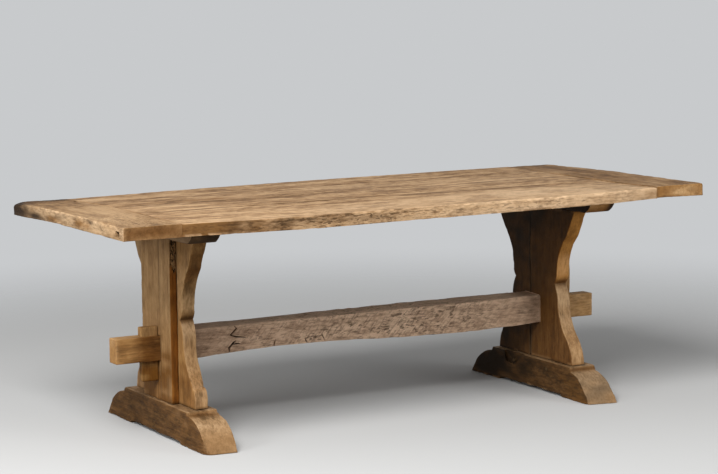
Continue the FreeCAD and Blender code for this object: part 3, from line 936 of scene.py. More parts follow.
def top_plank(number, seed):
    name = "top_plank_%d" % number
    low, high = sides_of(name)
    first, last = number == 1, number == 4
    plain = 0.0012
    arris = (plain, 0.0030 if last else plain, 0.0045 if last else plain, 0.0035 if first else plain)
    chips = (0.001 if first else 0, 0.004 if last else 0, 0.005 if last else 0.0006,
             front_bites if first else 0.0006)
    ends = plank_ends[0] - end_overlap, plank_ends[1] + end_overlap
    piece = timber("worn_" + name, 0, ends, fixed(low[1], high[1], low[2], high[2]), arris, seed,
                   pitch=0.008 if first else 0.014, chips=chips, end_round=0.0008, swell=0.0012,
                   cell=0.010 if first else 0.014, hewn=0.0012 if first else 0.0005)
    move_points(piece, rear_sag)
    if first:
        proud_corner(piece)
        for place, length, depth in front_sags:
            dent(piece, (place, top_front, top_under), (length, *front_sag_reach), (0, 0, -depth))
    seams = {"start": 0.0, "end": 0.7}
    if not first:
        seams["low_a"] = 0.9
    if not last:
        seams["high_a"] = 0.9
    spots = [(kind, (x, y, top_over), (length, width, top_mark_depth), amount, upward)
             for kind, x, y, length, width, amount in top_marks]
    marked(piece, "plank_oak", seams, spots + (front_plank_spots() if first else []))
    placed(piece, "plank_oak", name)


def front_bites(along):
    # How deep the front upper arris is chipped: more on the right.
    return 0.002 + 0.005 * smooth((along - 0.05) / 0.2)


def front_plank_spots():
    # The front edge is brown and streaked on the left, pale and chipped on the right.
    middle = (top_under + top_over) / 2
    return on_front(front_edge_marks) + [
        ("stain", (plank_ends[0], top_front, middle), (0.006, 0.008, 0.05), 3.0),
        ("raw", (0.56, top_front, top_over), (0.42, 0.008, 0.006), 4.0),
        ("raw", (-0.10, top_front + 0.06, top_over), (0.9, 0.09, top_mark_depth), 0.35, upward)]


def round_corner(piece, x, y, toward, radius):
    # Rounds one upright corner of a piece in plan.
    def shift(places):
        run = (places[:, 0] - x) * toward[0] + radius
        rise = (places[:, 1] - y) * toward[1] + radius
        inside = (run > 0) & (rise > 0)
        most, length = np.maximum(run, rise), np.hypot(run, rise)
        share = np.where(inside, most / np.maximum(length, 1e-9) - 1, 0)
        return shifts(places, x=run * share * toward[0], y=rise * share * toward[1])
    move_points(piece, shift)


def wear_left_end(piece, low, high):
    # The far corner is rounded, the end has hollows and sags at the rear, and a pocket is cut in it near
    # the front.
    round_corner(piece, low[0], high[1], (-1, 1), 0.008)
    for y, z, reach, depth in (
            (high[1], top_over, (0.024, 0.060, 0.022), (0, 0, -0.009)),
            (-0.180, top_over - 0.010, (0.014, 0.040, 0.012), (0.009, 0, -0.003)),
            (0.060, top_under + 0.012, (0.012, 0.05, 0.012), (0.006, 0, 0)),
            (-0.300, top_under + 0.006, (0.012, 0.03, 0.010), (0.005, 0, 0.002))):
        dent(piece, (low[0], y, z), reach, depth)
    move_points(piece, rear_sag)
    front, under = low[1] + pocket_from_front, top_under + pocket_above_underside
    carve(piece, box_cutter((low[0] - cut_past, front, under),
                            (low[0] + pocket_depth, front + pocket_width, under + pocket_height)))


def left_end_spots(low, high):
    # Black far corner, pale bruised end, dark pocket, and wormed wood near the front.
    end, pocket = low[0], low[1] + pocket_from_front + pocket_width / 2
    return [("dirt", (end, high[1], top_under + 0.02), (0.030, 0.105, 0.06), 2.5),
            ("dirt", (-0.97, high[1], top_over - 0.006), (0.085, 0.045, 0.03), 1.3),
            ("stain", (-1.00, high[1], top_over), (0.20, 0.10, 0.05), 0.9),
            ("dirt", (end, 0.27, top_under + 0.004), (0.012, 0.06, 0.012), 1.2),
            ("dirt", (end, -0.205, top_under + 0.031), (0.012, 0.034, 0.005), 1.4),
            ("stain", (end, -0.12, top_under + 0.018), (0.012, 0.040, 0.014), 1.4, to_left),
            ("stain", (end, -0.19, top_under + 0.018), (0.012, 0.035, 0.014), 0.8, to_left),
            ("stain", (end, 0.12, top_under + 0.010), (0.012, 0.050, 0.010), 1.2, to_left),
            ("dirt", (end + 0.02, pocket, top_under + 0.016), (0.04, 0.03, 0.03), 3.0, "inside"),
            ("raw", (end, -0.05, top_over - 0.012), (0.016, 0.42, 0.030), 1.3, to_left),
            ("raw", (end, low[1], top_over - 0.02), (0.010, 0.010, 0.03), 0.6),
            ("worm", (-1.02, -0.33, top_over), (0.09, 0.20, 0.05), 1.0, upward),
            ("rough", (-1.02, -0.33, top_over), (0.12, 0.22, 0.05), 0.7, upward),
            ("rough", (end, -0.1, top_under + 0.02), (0.012, 0.4, 0.03), 0.5, to_left),
            ("stain", (-1.02, low[1], top_under + 0.02), (0.3, 0.012, 0.06), 0.62, to_front),
            ("stain", (-0.94, 0.23, top_over), (0.05, 0.070, top_mark_depth), 0.40, upward),
            ("raw", (-1.05, -0.22, top_over), (0.09, 0.22, top_mark_depth), 0.50, upward)]


def right_end_spots(low, high):
    # A darker board with dirty edges, and a patchy front.
    end = high[0]
    return [("stain", (1.01, 0.1, top_over), (0.15, 0.7, top_mark_depth), 0.48, upward),
            ("dirt", (1.03, high[1], top_over), (0.16, 0.022, 0.02), 0.9),
            ("dirt", (end, 0.15, top_over), (0.007, 0.45, 0.007), 0.7),
            ("dirt", (end, low[1], top_under + 0.02), (0.004, 0.012, 0.05), 0.9)] + on_front(right_end_marks)


def breadboard(side, seed):
    name = side + "_breadboard"
    low, high = sides_of(name)
    left = side == "left"
    outer, inner = 0.0045, 0.0008
    arris = (0.002, outer, inner, inner) if left else (inner, inner, outer, 0.003)
    chips = (0.002, 0.008, 0.0005, 0.0005) if left else (0.0005, 0.0005, 0.005, 0.002)
    reach = (low[0], high[0] + end_overlap) if left else (low[0] - end_overlap, high[0])
    under = low[2] - (end_belly if left else 0.0)
    ends = low[1] - end_overlap, high[1]
    piece = timber("worn_" + name, 1, ends, fixed(under, high[2], *reach), arris, seed,
                   pitch=0.008, chips=chips, end_round=0.0025, swell=0.0012, cell=0.009, hewn=0.0010)
    if left:
        wear_left_end(piece, low, high)
        marked(piece, "breadboard_oak", {"high_b": 0.0}, left_end_spots(low, high))
    else:
        round_corner(piece, high[0], high[1], (1, 1), 0.040)
        proud_corner(piece)
        move_points(piece, lifted_end)
        marked(piece, "breadboard_oak", {"low_b": 1.0}, right_end_spots(low, high))
        second_finish(piece, "golden_oak", lambda face: face.normal.y < -0.75)
    placed(piece, "breadboard_oak", name)


def loose_tongue(number):
    name = "loose_tongue_%d" % number
    low, high = sides_of(name)
    piece = timber("plain_" + name, 0, (low[0], high[0]), fixed(low[1], high[1], low[2], high[2]),
                   arris=(0.0005,) * 4, seed=80 + number, pitch=0.06, end_round=0.0005, swell=0.0)
    marked(piece, "plank_oak")
    placed(piece, "plank_oak", name)


# Trestles


def panel_half_width(heights, foot, head, waist_half):
    # Half the width of a panel at the given heights: an ogee up to the waist, then a flare.
    waist = foot + waist_above_foot
    start = (foot, panel_foot_half)
    outline = []
    for base, height, gain, arcs in (
            (foot, waist_above_foot, panel_foot_half - waist_half, lower_outline_shares),
            (waist, head - waist, panel_head_half - waist_half, upper_outline_shares)):
        for middle, end in arcs:
            through, stop = [(base + up * height, waist_half + out * gain) for up, out in (middle, end)]
            outline.append(arc(start, through, stop, 16))
            start = stop
    outline.append(np.array([start, (head, panel_head_half)]))
    outline = np.concatenate(outline)
    return np.interp(heights, outline[:, 0], outline[:, 1])


def splinter(piece, inner, foot):
    # Pares the inner front arris away above the step, and lets the wood below it stand out.
    def shift(places):
        rise = places[:, 2] - step_height
        above = np.clip(1 - rise / step_fade, 0, 1) * smooth(rise / step_run)
        below = np.clip((places[:, 2] - foot) / (step_height - foot), 0, 1) * (rise <= 0)
        near = smooth((places[:, 0] - inner + step_reach) / step_reach)
        front = smooth((-panel_waist_half - places[:, 1]) / step_reach)
        return shifts(places, y=(step_depth * above * near - step_lip * below) * front)
    move_points(piece, shift)


def trestle_heights(side):
    # The top of a foot and the underside of its bearer.
    return sides_of(side + "_foot")[1][2], sides_of(side + "_bearer")[0][2]


def mortise_cutter(low, high, front, rear):
    # A cutter for the tenon's way through a board.
    tenon_low, tenon_high = tenon_heights()
    return box_cutter((low[0] - cut_past, front, tenon_low - mortise_gap),
                      (high[0] + cut_past, rear, tenon_high + mortise_gap))


def panel_board(side, which, seed):
    name = "%s_panel_%s_board" % (side, which)
    low, high = sides_of(name)
    foot, head = trestle_heights(side)
    front, left = which == "front", side == "left"
    seam = high[1] if front else low[1]
    low[0] -= panel_growth[side][0]
    high[0] += panel_growth[side][1]
    waist = foot + waist_above_foot
    waist_half = left_front_waist_half if left and front else panel_waist_half

    def limits(heights):
        half = panel_half_width(heights, foot, head, waist_half)
        flat = np.ones(np.shape(heights))
        edges = (-half, seam * flat) if front else (seam * flat, half)
        return low[0] * flat, high[0] * flat, *edges

    extra = np.concatenate([waist + np.linspace(-0.04, 0.04, 33), step_height + np.linspace(0, step_run, 4)])
    outer, inner = [0.0032, 0.0032], [0.001, 0.001]
    bites, none = [0.004, 0.004], [0, 0]
    piece = timber("worn_" + name, 2, (foot, head), limits, outer + inner if front else inner + outer, seed,
                   pitch=0.010, chips=bites + none if front else none + bites, end_round=0.001,
                   swell=0.0012, extra=extra, cell=0.010, hewn=0.0005)
    if front and left:
        splinter(piece, high[0], foot)
    if front:
        carve(piece, mortise_cutter(low, high, -tenon_side - mortise_gap, seam + cut_past))
    seams = {"high_b" if front else "low_b": 0.8 if left else 2.5, "start": 0.7, "end": 0.5}
    marked(piece, "panel_oak", seams, panel_spots(left, low, high, foot, head))
    # The near edge above the waist takes another oak. So does the left board's outer face, as painted light
    # against the shade that the post casts on it.
    if front:
        second_finish(piece, "golden_oak" if left else "amber_oak",
                      lambda face: face.normal.y < -0.5 and face.center.z > waist
                      or left and face.normal.x < -0.75)
    placed(piece, "panel_oak", name)


def panel_spots(left, low, high, foot, head):
    # Near edges darkened at the waist as painted shade in its notch, with paler wood around it, and faces
    # under the top darkened as painted shade.
    waist = foot + waist_above_foot
    middle = (low[0] + high[0]) / 2
    at_waist = middle, -panel_waist_half
    spots = [("dirt", (*at_waist, waist + 0.006), (0.1, 0.03, 0.012), 0.55, to_front),
             ("stain", (*at_waist, waist + 0.007), (0.1, 0.03, 0.018), 1.1 if left else 0.7, to_front)]
    if left:
        return spots + [
            ("stain", (middle, -0.21, head - 0.06), (0.1, 0.09, 0.16), 0.78, to_front),
            ("raw", (middle, -0.15, waist + 0.060), (0.1, 0.06, 0.036), 1.0, to_front),
            ("raw", (middle, -0.15, waist - 0.030), (0.1, 0.06, 0.030), 0.8, to_front),
            ("stain", (middle, -0.21, foot + 0.06), (0.1, 0.09, 0.09), 0.14, to_front),
            ("dirt", (middle, -0.20, step_height + 0.10), (0.03, 0.06, 0.045), 0.22, to_front),
            ("raw", (high[0], -0.24, step_height - 0.02), (0.03, 0.06, 0.035), 0.40, to_front),
            ("dirt", (high[0] - 0.02, -0.15, waist + 0.065), (0.02, 0.05, 0.028), 0.22, to_front),
            ("raw", (high[0], -0.17, waist + 0.123), (0.015, 0.05, 0.030), 0.70, to_front),
            ("raw", (low[0], -0.15, waist + 0.10), (0.03, 0.10, 0.11), 0.8, to_left),
            ("stain", (low[0], -0.18, foot + 0.09), (0.03, 0.07, 0.15), 0.75, to_left)]
    # The right board's inner face, which lies under the table, is darkened all over as painted shade, with
    # more dark under its head.
    return spots + [
        ("stain", (low[0], 0.10, head - 0.10), (0.03, 0.60, 0.60), 2.5, to_left),
        ("dirt", (low[0], 0.14, head - 0.14), (0.03, 0.26, 0.34), 0.65, to_left),
        ("dirt", (low[0], 0.18, foot + 0.08), (0.03, 0.12, 0.16), 0.6, to_left),
        ("stain", (low[0], -0.10, foot + 0.10), (0.03, 0.30, 0.30), 1.6, to_left),
        ("dirt", (middle, -0.235, head - 0.085), (0.008, 0.02, 0.016), 0.7, to_front),
        ("stain", (middle, -0.18, head - 0.12), (0.1, 0.12, 0.12), 0.2, to_front),
        ("raw", (middle, -0.16, foot + 0.20), (0.1, 0.12, 0.11), 0.45, to_front),
        ("raw", (middle, -0.14, waist + 0.070), (0.1, 0.06, 0.040), 1.0, to_front),
        ("raw", (middle, -0.14, waist - 0.040), (0.1, 0.06, 0.035), 0.7, to_front),
        ("dirt", (low[0], -0.05, head), (0.03, 0.40, 0.06), 0.55, to_left)]


def post_plank(side, which, seed):
    name = "%s_post_%s_plank" % (side, which)
    low, high = sides_of(name)
    foot, head = trestle_heights(side)
    front, left = which == "front", side == "left"
    outer, inner, bite = 0.0026, 0.001, 0.003
    arris = [outer, outer, inner, inner] if front else [inner, inner, outer, outer]
    chips = [bite, bite, 0, 0] if front else [0, 0, bite, bite]
    piece = timber("worn_" + name, 2, (foot, head), fixed(low[0], high[0], low[1], high[1]), arris, seed,
                   pitch=0.010, chips=chips, end_round=0.001, swell=0.0008, cell=0.009)
    if not front:
        carve(piece, mortise_cutter(low, high, low[1] - cut_past, tenon_side + mortise_gap))
    middle = (low[0] + high[0]) / 2
    spots = []
    if left:
        # On the left planks the outer face is darkened under the head and towards the foot as painted shade,
        # under the top and near the floor, and made a little paler in the middle.
        spots = [("stain", (low[0], 0, head - 0.02), (0.03, 0.30, 0.06), 0.30, to_left),
                 ("stain", (low[0], 0, foot + 0.04), (0.03, 0.40, 0.17), 1.1, to_left),
                 ("raw", (low[0], -0.06, 0.45), (0.03, 0.07, 0.20), 0.13, to_left)]
    if front and left:
        carve(piece, worm_galleries(low, high, head))
        spots += [("stain", (middle, low[1], 0.34), (0.03, 0.012, 0.32), 1.8, to_front),
                  ("dirt", (middle, low[1], 0.44), (0.03, 0.012, 0.10), 0.20, to_front),
                  ("dirt", (middle, low[1], 0.20), (0.03, 0.012, 0.13), 0.40, to_front),
                  ("dirt", (middle, low[1], head - 0.058), (0.03, 0.03, 0.10), 3.0, "inside"),
                  ("raw", (middle, low[1], head - 0.058), (0.03, 0.004, 0.05), 0.8, to_front)]
    marked(piece, "post_oak", {"high_b" if front else "low_b": 0.6, "start": 0.6, "end": 0.4}, spots)
    if front and left:
        second_finish(piece, "amber_oak",
                      lambda face: face.normal.y < -0.75 and face.center.z < head - 0.10)
    placed(piece, "post_oak", name)


def foot_profile(length_half, height, toe_shape):
    # Upper outline of a foot from the platform's end to the tip of the toe.
    shorter, steps, bulge = toe_shape
    steps = [(platform_half + out, height - down) for out, down in steps]
    toe = bulged(steps[-1], (length_half - shorter, 0.0), bulge, 40)
    start = [(0.0, height), (platform_half, height)]
    return np.concatenate([start + steps[:-1], toe])


def wear_toe(piece, side, low, high, near):
    # The near toe is worn back on its left side.
    back, radius = toe_wear[side]

    def shift(places):
        leftness = np.clip((high[0] - places[:, 0]) / (high[0] - low[0]), 0, 1)
        reach = smooth((-platform_half - places[:, 1]) / (-platform_half - near))
        return shifts(places, y=back * leftness * reach)

    round_corner(piece, low[0], near, (-1, -1), radius)
    move_points(piece, shift)


def foot_spots(side, low, high, near):
    # Paler toes, a dark line under the platform's end, and dark sides, darkest on the right foot; the dark of
    # the sides is painted shade near the floor as well as dirt.
    middle = (low[0] + high[0]) / 2
    shelf = near_toes[side][1][-1][0]
    near_toe, far_toe_place = (middle, near + 0.06, 0.05), (middle, high[1] - 0.06, 0.05)
    toe_reach, toe_faces = (0.2, 0.09, 0.09), (0, -0.8, 0.6)
    spots = [("raw", near_toe, toe_reach, 0.12, toe_faces),
             ("stain", (middle, -platform_half - shelf / 2, high[2] - 0.012),
              (0.2, 0.010 + shelf / 3, 0.008), 1.0),
             ("raw", far_toe_place, toe_reach, 0.2, (0, 0.8, 0.6))]
    if side == "left":
        return spots + [
            ("stain", (low[0], 0.0, 0.05), (0.02, 0.70, 0.20), 2.0, to_left),
            ("dirt", (low[0], 0.10, 0.05), (0.02, 0.40, 0.10), 0.38, to_left),
            ("stain", (middle, 0.05, high[2]), (0.2, 0.35, 0.02), 0.3, upward),
            ("rough", (low[0], 0.0, 0.05), (0.02, 0.55, 0.12), 0.6)]
    return spots + [
        ("stain", (low[0], 0.05, 0.05), (0.02, 0.60, 0.20), 2.5, to_left),
        ("dirt", (low[0], 0.26, 0.05), (0.02, 0.26, 0.14), 0.62, to_left),
        ("dirt", (low[0], 0.0, 0.08), (0.02, 0.50, 0.10), 0.48, to_left),
        ("dirt", (low[0], 0.105, high[2] - 0.024), (0.02, 0.10, 0.06), 2.5, "inside"),
        ("rough", (low[0], -0.1, 0.05), (0.02, 0.35, 0.12), 0.8, to_left),
        ("raw", (low[0], 0.051, high[2] - 0.004), (0.01, 0.008, 0.006), 1.0),
        ("raw", near_toe, toe_reach, 0.45, toe_faces),
        ("dirt", near_toe, toe_reach, 0.44, toe_faces)]


def foot(side, seed):
    name = side + "_foot"
    low, high = sides_of(name)
    near = low[1] + near_toes[side][0]
    outlines = foot_profile(-low[1], high[2], near_toes[side]), foot_profile(high[1], high[2], far_toe)
    tip = 0.0035

    def limits(along):
        heights = [np.interp(np.abs(along), outline[:, 0], outline[:, 1]) for outline in outlines]
        upper = np.maximum(np.where(along < 0, *heights), tip)
        lower = relief_depth * np.clip((relief_half - np.abs(along)) / relief_ramp, 0, 1)
        flat = np.ones(np.shape(along))
        return lower, upper, low[0] * flat, high[0] * flat

    steps = np.concatenate([platform_half + np.linspace(-0.008, 0.016, 13),
                            [relief_half, relief_half - relief_ramp]])
    extra = np.concatenate([-steps, steps, -outlines[0][1:, 0], outlines[1][1:, 0]])
    piece = timber("worn_" + name, 1, (near, high[1]), limits, arris=(0.003, 0.0040, 0.0040, 0.003),
                   seed=seed, pitch=0.011, chips=(0.004, 0.005, 0.005, 0.004), end_round=0.0012,
                   swell=0.0020, extra=extra, cell=0.010, hewn=0.0012)
    wear_toe(piece, side, low, high, near)
    if side == "right":
        carve(piece, prism(flake_outline, 0, low[0] - cut_past, low[0] + flake_depth))
    marked(piece, "foot_oak", None, foot_spots(side, low, high, near))
    placed(piece, "foot_oak", name)


def bearer(side, seed):
    name = side + "_bearer"
    low, high = sides_of(name)
    end = bulged((high[1] - bearer_end_slope, low[2]), (high[1], high[2]), -bearer_end_bulge, 24)
    tip = 0.004

    def limits(along):
        lower = np.minimum(np.interp(np.abs(along), end[:, 0], end[:, 1]), high[2] - tip)
        flat = np.ones(np.shape(along))
        return lower, high[2] * flat, low[0] * flat, high[0] * flat

    piece = timber("worn_" + name, 1, (low[1], high[1]), limits, arris=(0.003, 0.001, 0.001, 0.003),
                   seed=seed, pitch=0.012, chips=(0.003, 0, 0, 0.003), end_round=0.0012, swell=0.0012,
                   extra=np.concatenate([-end[:, 0], end[:, 0]]), cell=0.010)
    for screw_low, screw_high in islands(side + "_bearer_screws"):
        x, y = ((screw_low + screw_high) / 2)[:2]
        radius = (screw_high[0] - screw_low[0]) / 2 + slot_room
        carve(piece, round_cutter(x, y, low[2] - cut_past, low[2] + screw_seat_above_bearer, radius))
    middle = (low + high) / 2
    near_end = (0, -0.7, -0.7)
    # The underside is stained dark. The left bearer's near end is darkened as painted shade; on the right
    # bearer the inner side and the outer part of the near end are darkened as painted shade, and the rest of
    # the near end is made paler as painted light.
    spots = [("stain", (middle[0], 0, low[2]), (0.3, 0.6, 0.02), 1.2, downward)]
    if side == "left":
        spots += [("dirt", (middle[0], low[1], middle[2]), (0.3, 0.06, 0.05), 1.1, near_end)]
    else:
        spots += [("dirt", (low[0], 0.0, middle[2]), (0.02, 0.60, 0.06), 2.0, to_left),
                  ("raw", (low[0], low[1], middle[2]), (0.09, 0.12, 0.06), 1.0, near_end),
                  ("dirt", (high[0], low[1], middle[2]), (0.022, 0.10, 0.06), 1.4, near_end)]
    marked(piece, "bearer_oak", {"high_a": 0.5}, spots)
    # The right bearer's near end also takes the amber oak, as painted light.
    if side == "right":
        second_finish(piece, "amber_oak", lambda face: face.normal.y < -0.3)
    placed(piece, "bearer_oak", name)


# Stretcher and keys


def tenon_heights():
    low = sides_of("stretcher")[0][2]
    return low + tenon_bottom_shoulder, low + stretcher_height - tenon_top_shoulder


def worn_rail(low, high, shoulder, seed):
    # The stretcher between the panels, with a worn underside, a raised rear edge and cracks.
    points = [(share * shoulder, low[2] + rise) for share, rise in underside_points]
    underside = np.concatenate([arc(*points[:3], 24), arc(*points[2:], 24)[1:]])

    def limits(along):
        flat = np.ones(np.shape(along))
        under = np.interp(along, underside[:, 0], underside[:, 1])
        return low[1] * flat, high[1] * flat, under, high[2] * flat

    def rise(places):
        # The rear upper edge is the highest, in the middle and on the right.
        back = np.clip((places[:, 1] - low[1]) / (high[1] - low[1]), 0, 1)
        up = np.clip((places[:, 2] - low[2]) / (high[2] - low[2]), 0, 1)
        share = back * up * smooth((places[:, 0] + rear_edge_run) / rear_edge_run)
        return shifts(places, z=rear_edge_rise * share)

    rail = timber("worn_stretcher", 0, (-shoulder, shoulder), limits,
                  arris=(0.0035, 0.0045, 0.003, 0.0080), seed=seed, pitch=0.008,
                  chips=(0.003, 0.004, 0.003, 0.007), end_round=0.001, swell=0.0026, cell=0.008, hewn=0.0020)
    move_points(rail, rise)
    for route, width in stretcher_cracks:
        carve(rail, split(route, width, low[1]))
    return rail


def worn_tenon(sign, shoulder, tip, post_outer, seed):
    # One tenon of the stretcher, with the slot for its key.
    ends = (shoulder - tenon_overlap, tip) if sign > 0 else (-tip, tenon_overlap - shoulder)
    tenon = timber("tenon", 0, ends, fixed(-tenon_side, tenon_side, *tenon_heights()),
                   arris=(0.0025,) * 4, seed=seed, pitch=0.008, chips=(0.002,) * 4,
                   end_round=tenon_tip_round, swell=0.0006, cell=0.008)
    carve(tenon, key_slot(sign, post_outer))
    return tenon


def stretcher_spots(low, high, post_outer):
    # A top and upper front arris made pale as painted light against the shade of the table top, rough pale
    # wood in the middle, dark cracks, and stained tenons with pale tips, the left one darkened next to its
    # post as painted shade.
    tip, middle = high[0], (low[2] + high[2]) / 2
    spots = [("raw", (0, 0, high[2]), (1.2, 0.2, 0.02), 1.1, upward),
             ("raw", (0, low[1], high[2] - 0.003), (0.9, 0.03, 0.010), 0.7),
             ("raw", (-0.02, low[1], middle), (0.30, 0.03, 0.08), 0.62),
             ("raw", (0.48, low[1], middle), (0.30, 0.03, 0.08), 0.48),
             ("raw", (0.115, low[1], middle), (0.05, 0.03, 0.03), 0.6),
             ("rough", (0.10, low[1], middle), (0.42, 0.2, 0.1), 1.1),
             ("rough", (-0.45, low[1], middle), (0.20, 0.2, 0.1), 0.4),
             ("stain", (-post_outer - 0.02, -tenon_side, middle), (0.075, 0.02, 0.10), 1.3),
             ("stain", (-tip + 0.02, -tenon_side, middle + 0.01), (0.03, 0.03, 0.03), 0.40),
             ("raw", (post_outer + 0.08, -tenon_side, middle), (0.10, 0.03, 0.10), 0.6)]
    for route, _ in stretcher_cracks:
        along, up = np.mean(route, axis=0)
        reach, height = np.ptp(route, axis=0) / 2 + 0.012
        spots.append(("dirt", (along, low[1], up), (reach, 0.03, height), 3.0, "inside"))
    return spots + [("raw", (sign * tip, 0, middle), (0.010, 0.05, 0.08), 0.55) for sign in (-1, 1)]


def stretcher(seed):
    low, high = sides_of("stretcher")
    shoulder = sides_of("right_panel_front_board")[0][0]
    post_outer = sides_of("right_post_front_plank")[1][0]
    tip = high[0]
    parts = [worn_rail(low, high, shoulder, seed)]
    parts += [worn_tenon(sign, shoulder, tip, post_outer, seed + 3 + sign) for sign in (-1, 1)]
    whole = joined("worn_stretcher_whole", parts)
    timbers[whole.name] = dict(timbers["worn_stretcher"], ends=(-tip, tip))
    marked(whole, "stretcher_oak", None, stretcher_spots(low, high, post_outer))
    second_finish(whole, "golden_oak", lambda face: abs(face.center.x) > shoulder + tenon_overlap)
    placed(whole, "stretcher_oak", "stretcher")


def split(route, width, face):
    # A wedge-shaped crack: a zigzag on the front face that narrows towards its ends.
    route = np.array(route)
    steps = np.gradient(route, axis=0)
    across = np.stack([-steps[:, 1], steps[:, 0]], axis=1) / np.hypot(*steps.T)[:, None]
    taper = np.sin(np.linspace(0.18, 0.9, len(route)) * math.pi)[:, None]
    near, far = route + across * width / 2 * taper, route - across * width / 2 * taper
    corners = np.concatenate([near, far[::-1]])[:, ::-1]
    return prism([tuple(corner) for corner in corners], 1, face - cut_past, face + crack_depth)


def key_slot(sign, post_outer):
    low, high = sides_of("right_key")
    outer = high[0] + slot_room
    bottom_outer = outer - key_taper
    inner = post_outer - slot_draw
    half = high[1] + slot_room
    past = 0.02
    below, above = low[2] - past, high[2] + past
    slope = key_taper / (high[2] - low[2])
    corners = [(below, sign * inner), (below, sign * (bottom_outer - slope * past)),
               (above, sign * (outer + slope * past)), (above, sign * inner)]
    return prism(corners, 1, -half, half)


def key(side, seed):
    name = side + "_key"
    low, high = sides_of(name)
    right = side == "right"

    def limits(heights):
        taper = key_taper * (high[2] - heights) / (high[2] - low[2])
        flat = np.ones(np.shape(heights))
        x_low = low[0] * flat if right else low[0] + taper
        x_high = high[0] - taper if right else high[0] * flat
        return x_low + key_room, x_high - key_room, (low[1] + key_room) * flat, (high[1] - key_room) * flat

    piece = timber("worn_" + name, 2, (low[2], high[2]), limits, arris=(0.002,) * 4, seed=seed,
                   pitch=0.008, chips=(0.002,) * 4, end_round=0.0045, swell=0.0005, cell=0.006)
    middle = (low[0] + high[0]) / 2
    spots = [("stain", (middle, 0, low[2]), (0.1, 0.1, 0.11), 1.1),
             ("raw", (middle, 0, high[2]), (0.06, 0.05, 0.05), 0.35)]
    marked(piece, "key_oak", None, spots)
    placed(piece, "key_oak", name, body=name)


# Pegs, screws and worm galleries, which repeat


def islands(node):
    # Boxes of the separate solids in one node.
    shape = bmesh.new()
    shape.from_mesh(frame["nodes"][node].data)
    bmesh.ops.remove_doubles(shape, verts=shape.verts, dist=1e-6)
    left, found = set(shape.verts), []
    while left:
        group, edge = set(), [left.pop()]
        while edge:
            vertex = edge.pop()
            group.add(vertex)
            for link in vertex.link_edges:
                other = link.other_vert(vertex)
                if other in left:
                    left.discard(other)
                    edge.append(other)
        places = np.array([vertex.co for vertex in group])
        found.append((places.min(axis=0), places.max(axis=0)))
    shape.free()
    return sorted(found, key=lambda box: tuple(box[0]))


def geometry_tree(name, sockets):
    # An empty tree with named inputs after its geometry.
    tree = bpy.data.node_groups.new(name, "GeometryNodeTree")
    tree.interface.new_socket("Geometry", in_out="INPUT", socket_type="NodeSocketGeometry")
    for label, kind in sockets:
        tree.interface.new_socket(label, in_out="INPUT", socket_type=kind)
    tree.interface.new_socket("Geometry", in_out="OUTPUT", socket_type="NodeSocketGeometry")
    start = tree.nodes.new("NodeGroupInput")
    inputs = {socket.name: Wire(tree, socket) for socket in start.outputs if socket.name}
    return tree, Wire(tree), inputs


def random_number(wire, low, high, seed):
    return wire.node("FunctionNodeRandomValue", {"data_type": "FLOAT"}, {2: low, 3: high, "Seed": seed}, 1)


def end_tree(tree, wire, geometry, material):
    whole = wire.node("GeometryNodeRealizeInstances", {}, {"Geometry": geometry})
    finished = wire.node("GeometryNodeSetMaterial", {}, {"Geometry": whole, "Material": material})
    wire.feed(tree.nodes.new("NodeGroupOutput"), {"Geometry": finished})
    return tree


def peg_tree(material):
    # Riven pegs: faceted, chamfered at both ends and each a little turned.
    number, whole, vector = "NodeSocketFloat", "NodeSocketInt", "NodeSocketVector"
    tree, wire, given = geometry_tree("riven_pegs", (
        ("Direction", vector), ("Length", number), ("Diameter", number), ("Chamfer", number),
        ("Flats", whole), ("Seed", whole)))
    line = wire.node("GeometryNodeCurvePrimitiveLine", {"mode": "DIRECTION"},
                     {"Direction": given["Direction"], "Length": given["Length"]})
    line = wire.node("GeometryNodeResampleCurve", {}, {"Curve": line, "Count": 40})
    passed = wire.node("GeometryNodeSplineParameter", output=1)
    to_end = passed.at_most(given["Length"] - passed)
    radius = peg_tip_share + (1.0 - peg_tip_share) * (to_end / given["Chamfer"]).at_most(1.0)
    line = wire.node("GeometryNodeSetCurveRadius", {}, {"Curve": line, "Radius": radius})
    rim = wire.node("GeometryNodeCurvePrimitiveCircle", {},
                    {"Resolution": given["Flats"], "Radius": given["Diameter"] * 0.5})
    peg = wire.node("GeometryNodeCurveToMesh", {},
                    {"Curve": line, "Profile Curve": rim, "Fill Caps": True})
    turn = random_number(wire, 0.0, 1.0, given["Seed"])
    twist = wire.node("ShaderNodeVectorMath", {"operation": "SCALE"}, {0: given["Direction"], "Scale": turn})
    pegs = wire.node("GeometryNodeInstanceOnPoints", {},
                     {"Points": given["Geometry"], "Instance": peg, "Rotation": twist})
    return end_tree(tree, wire, pegs, material)


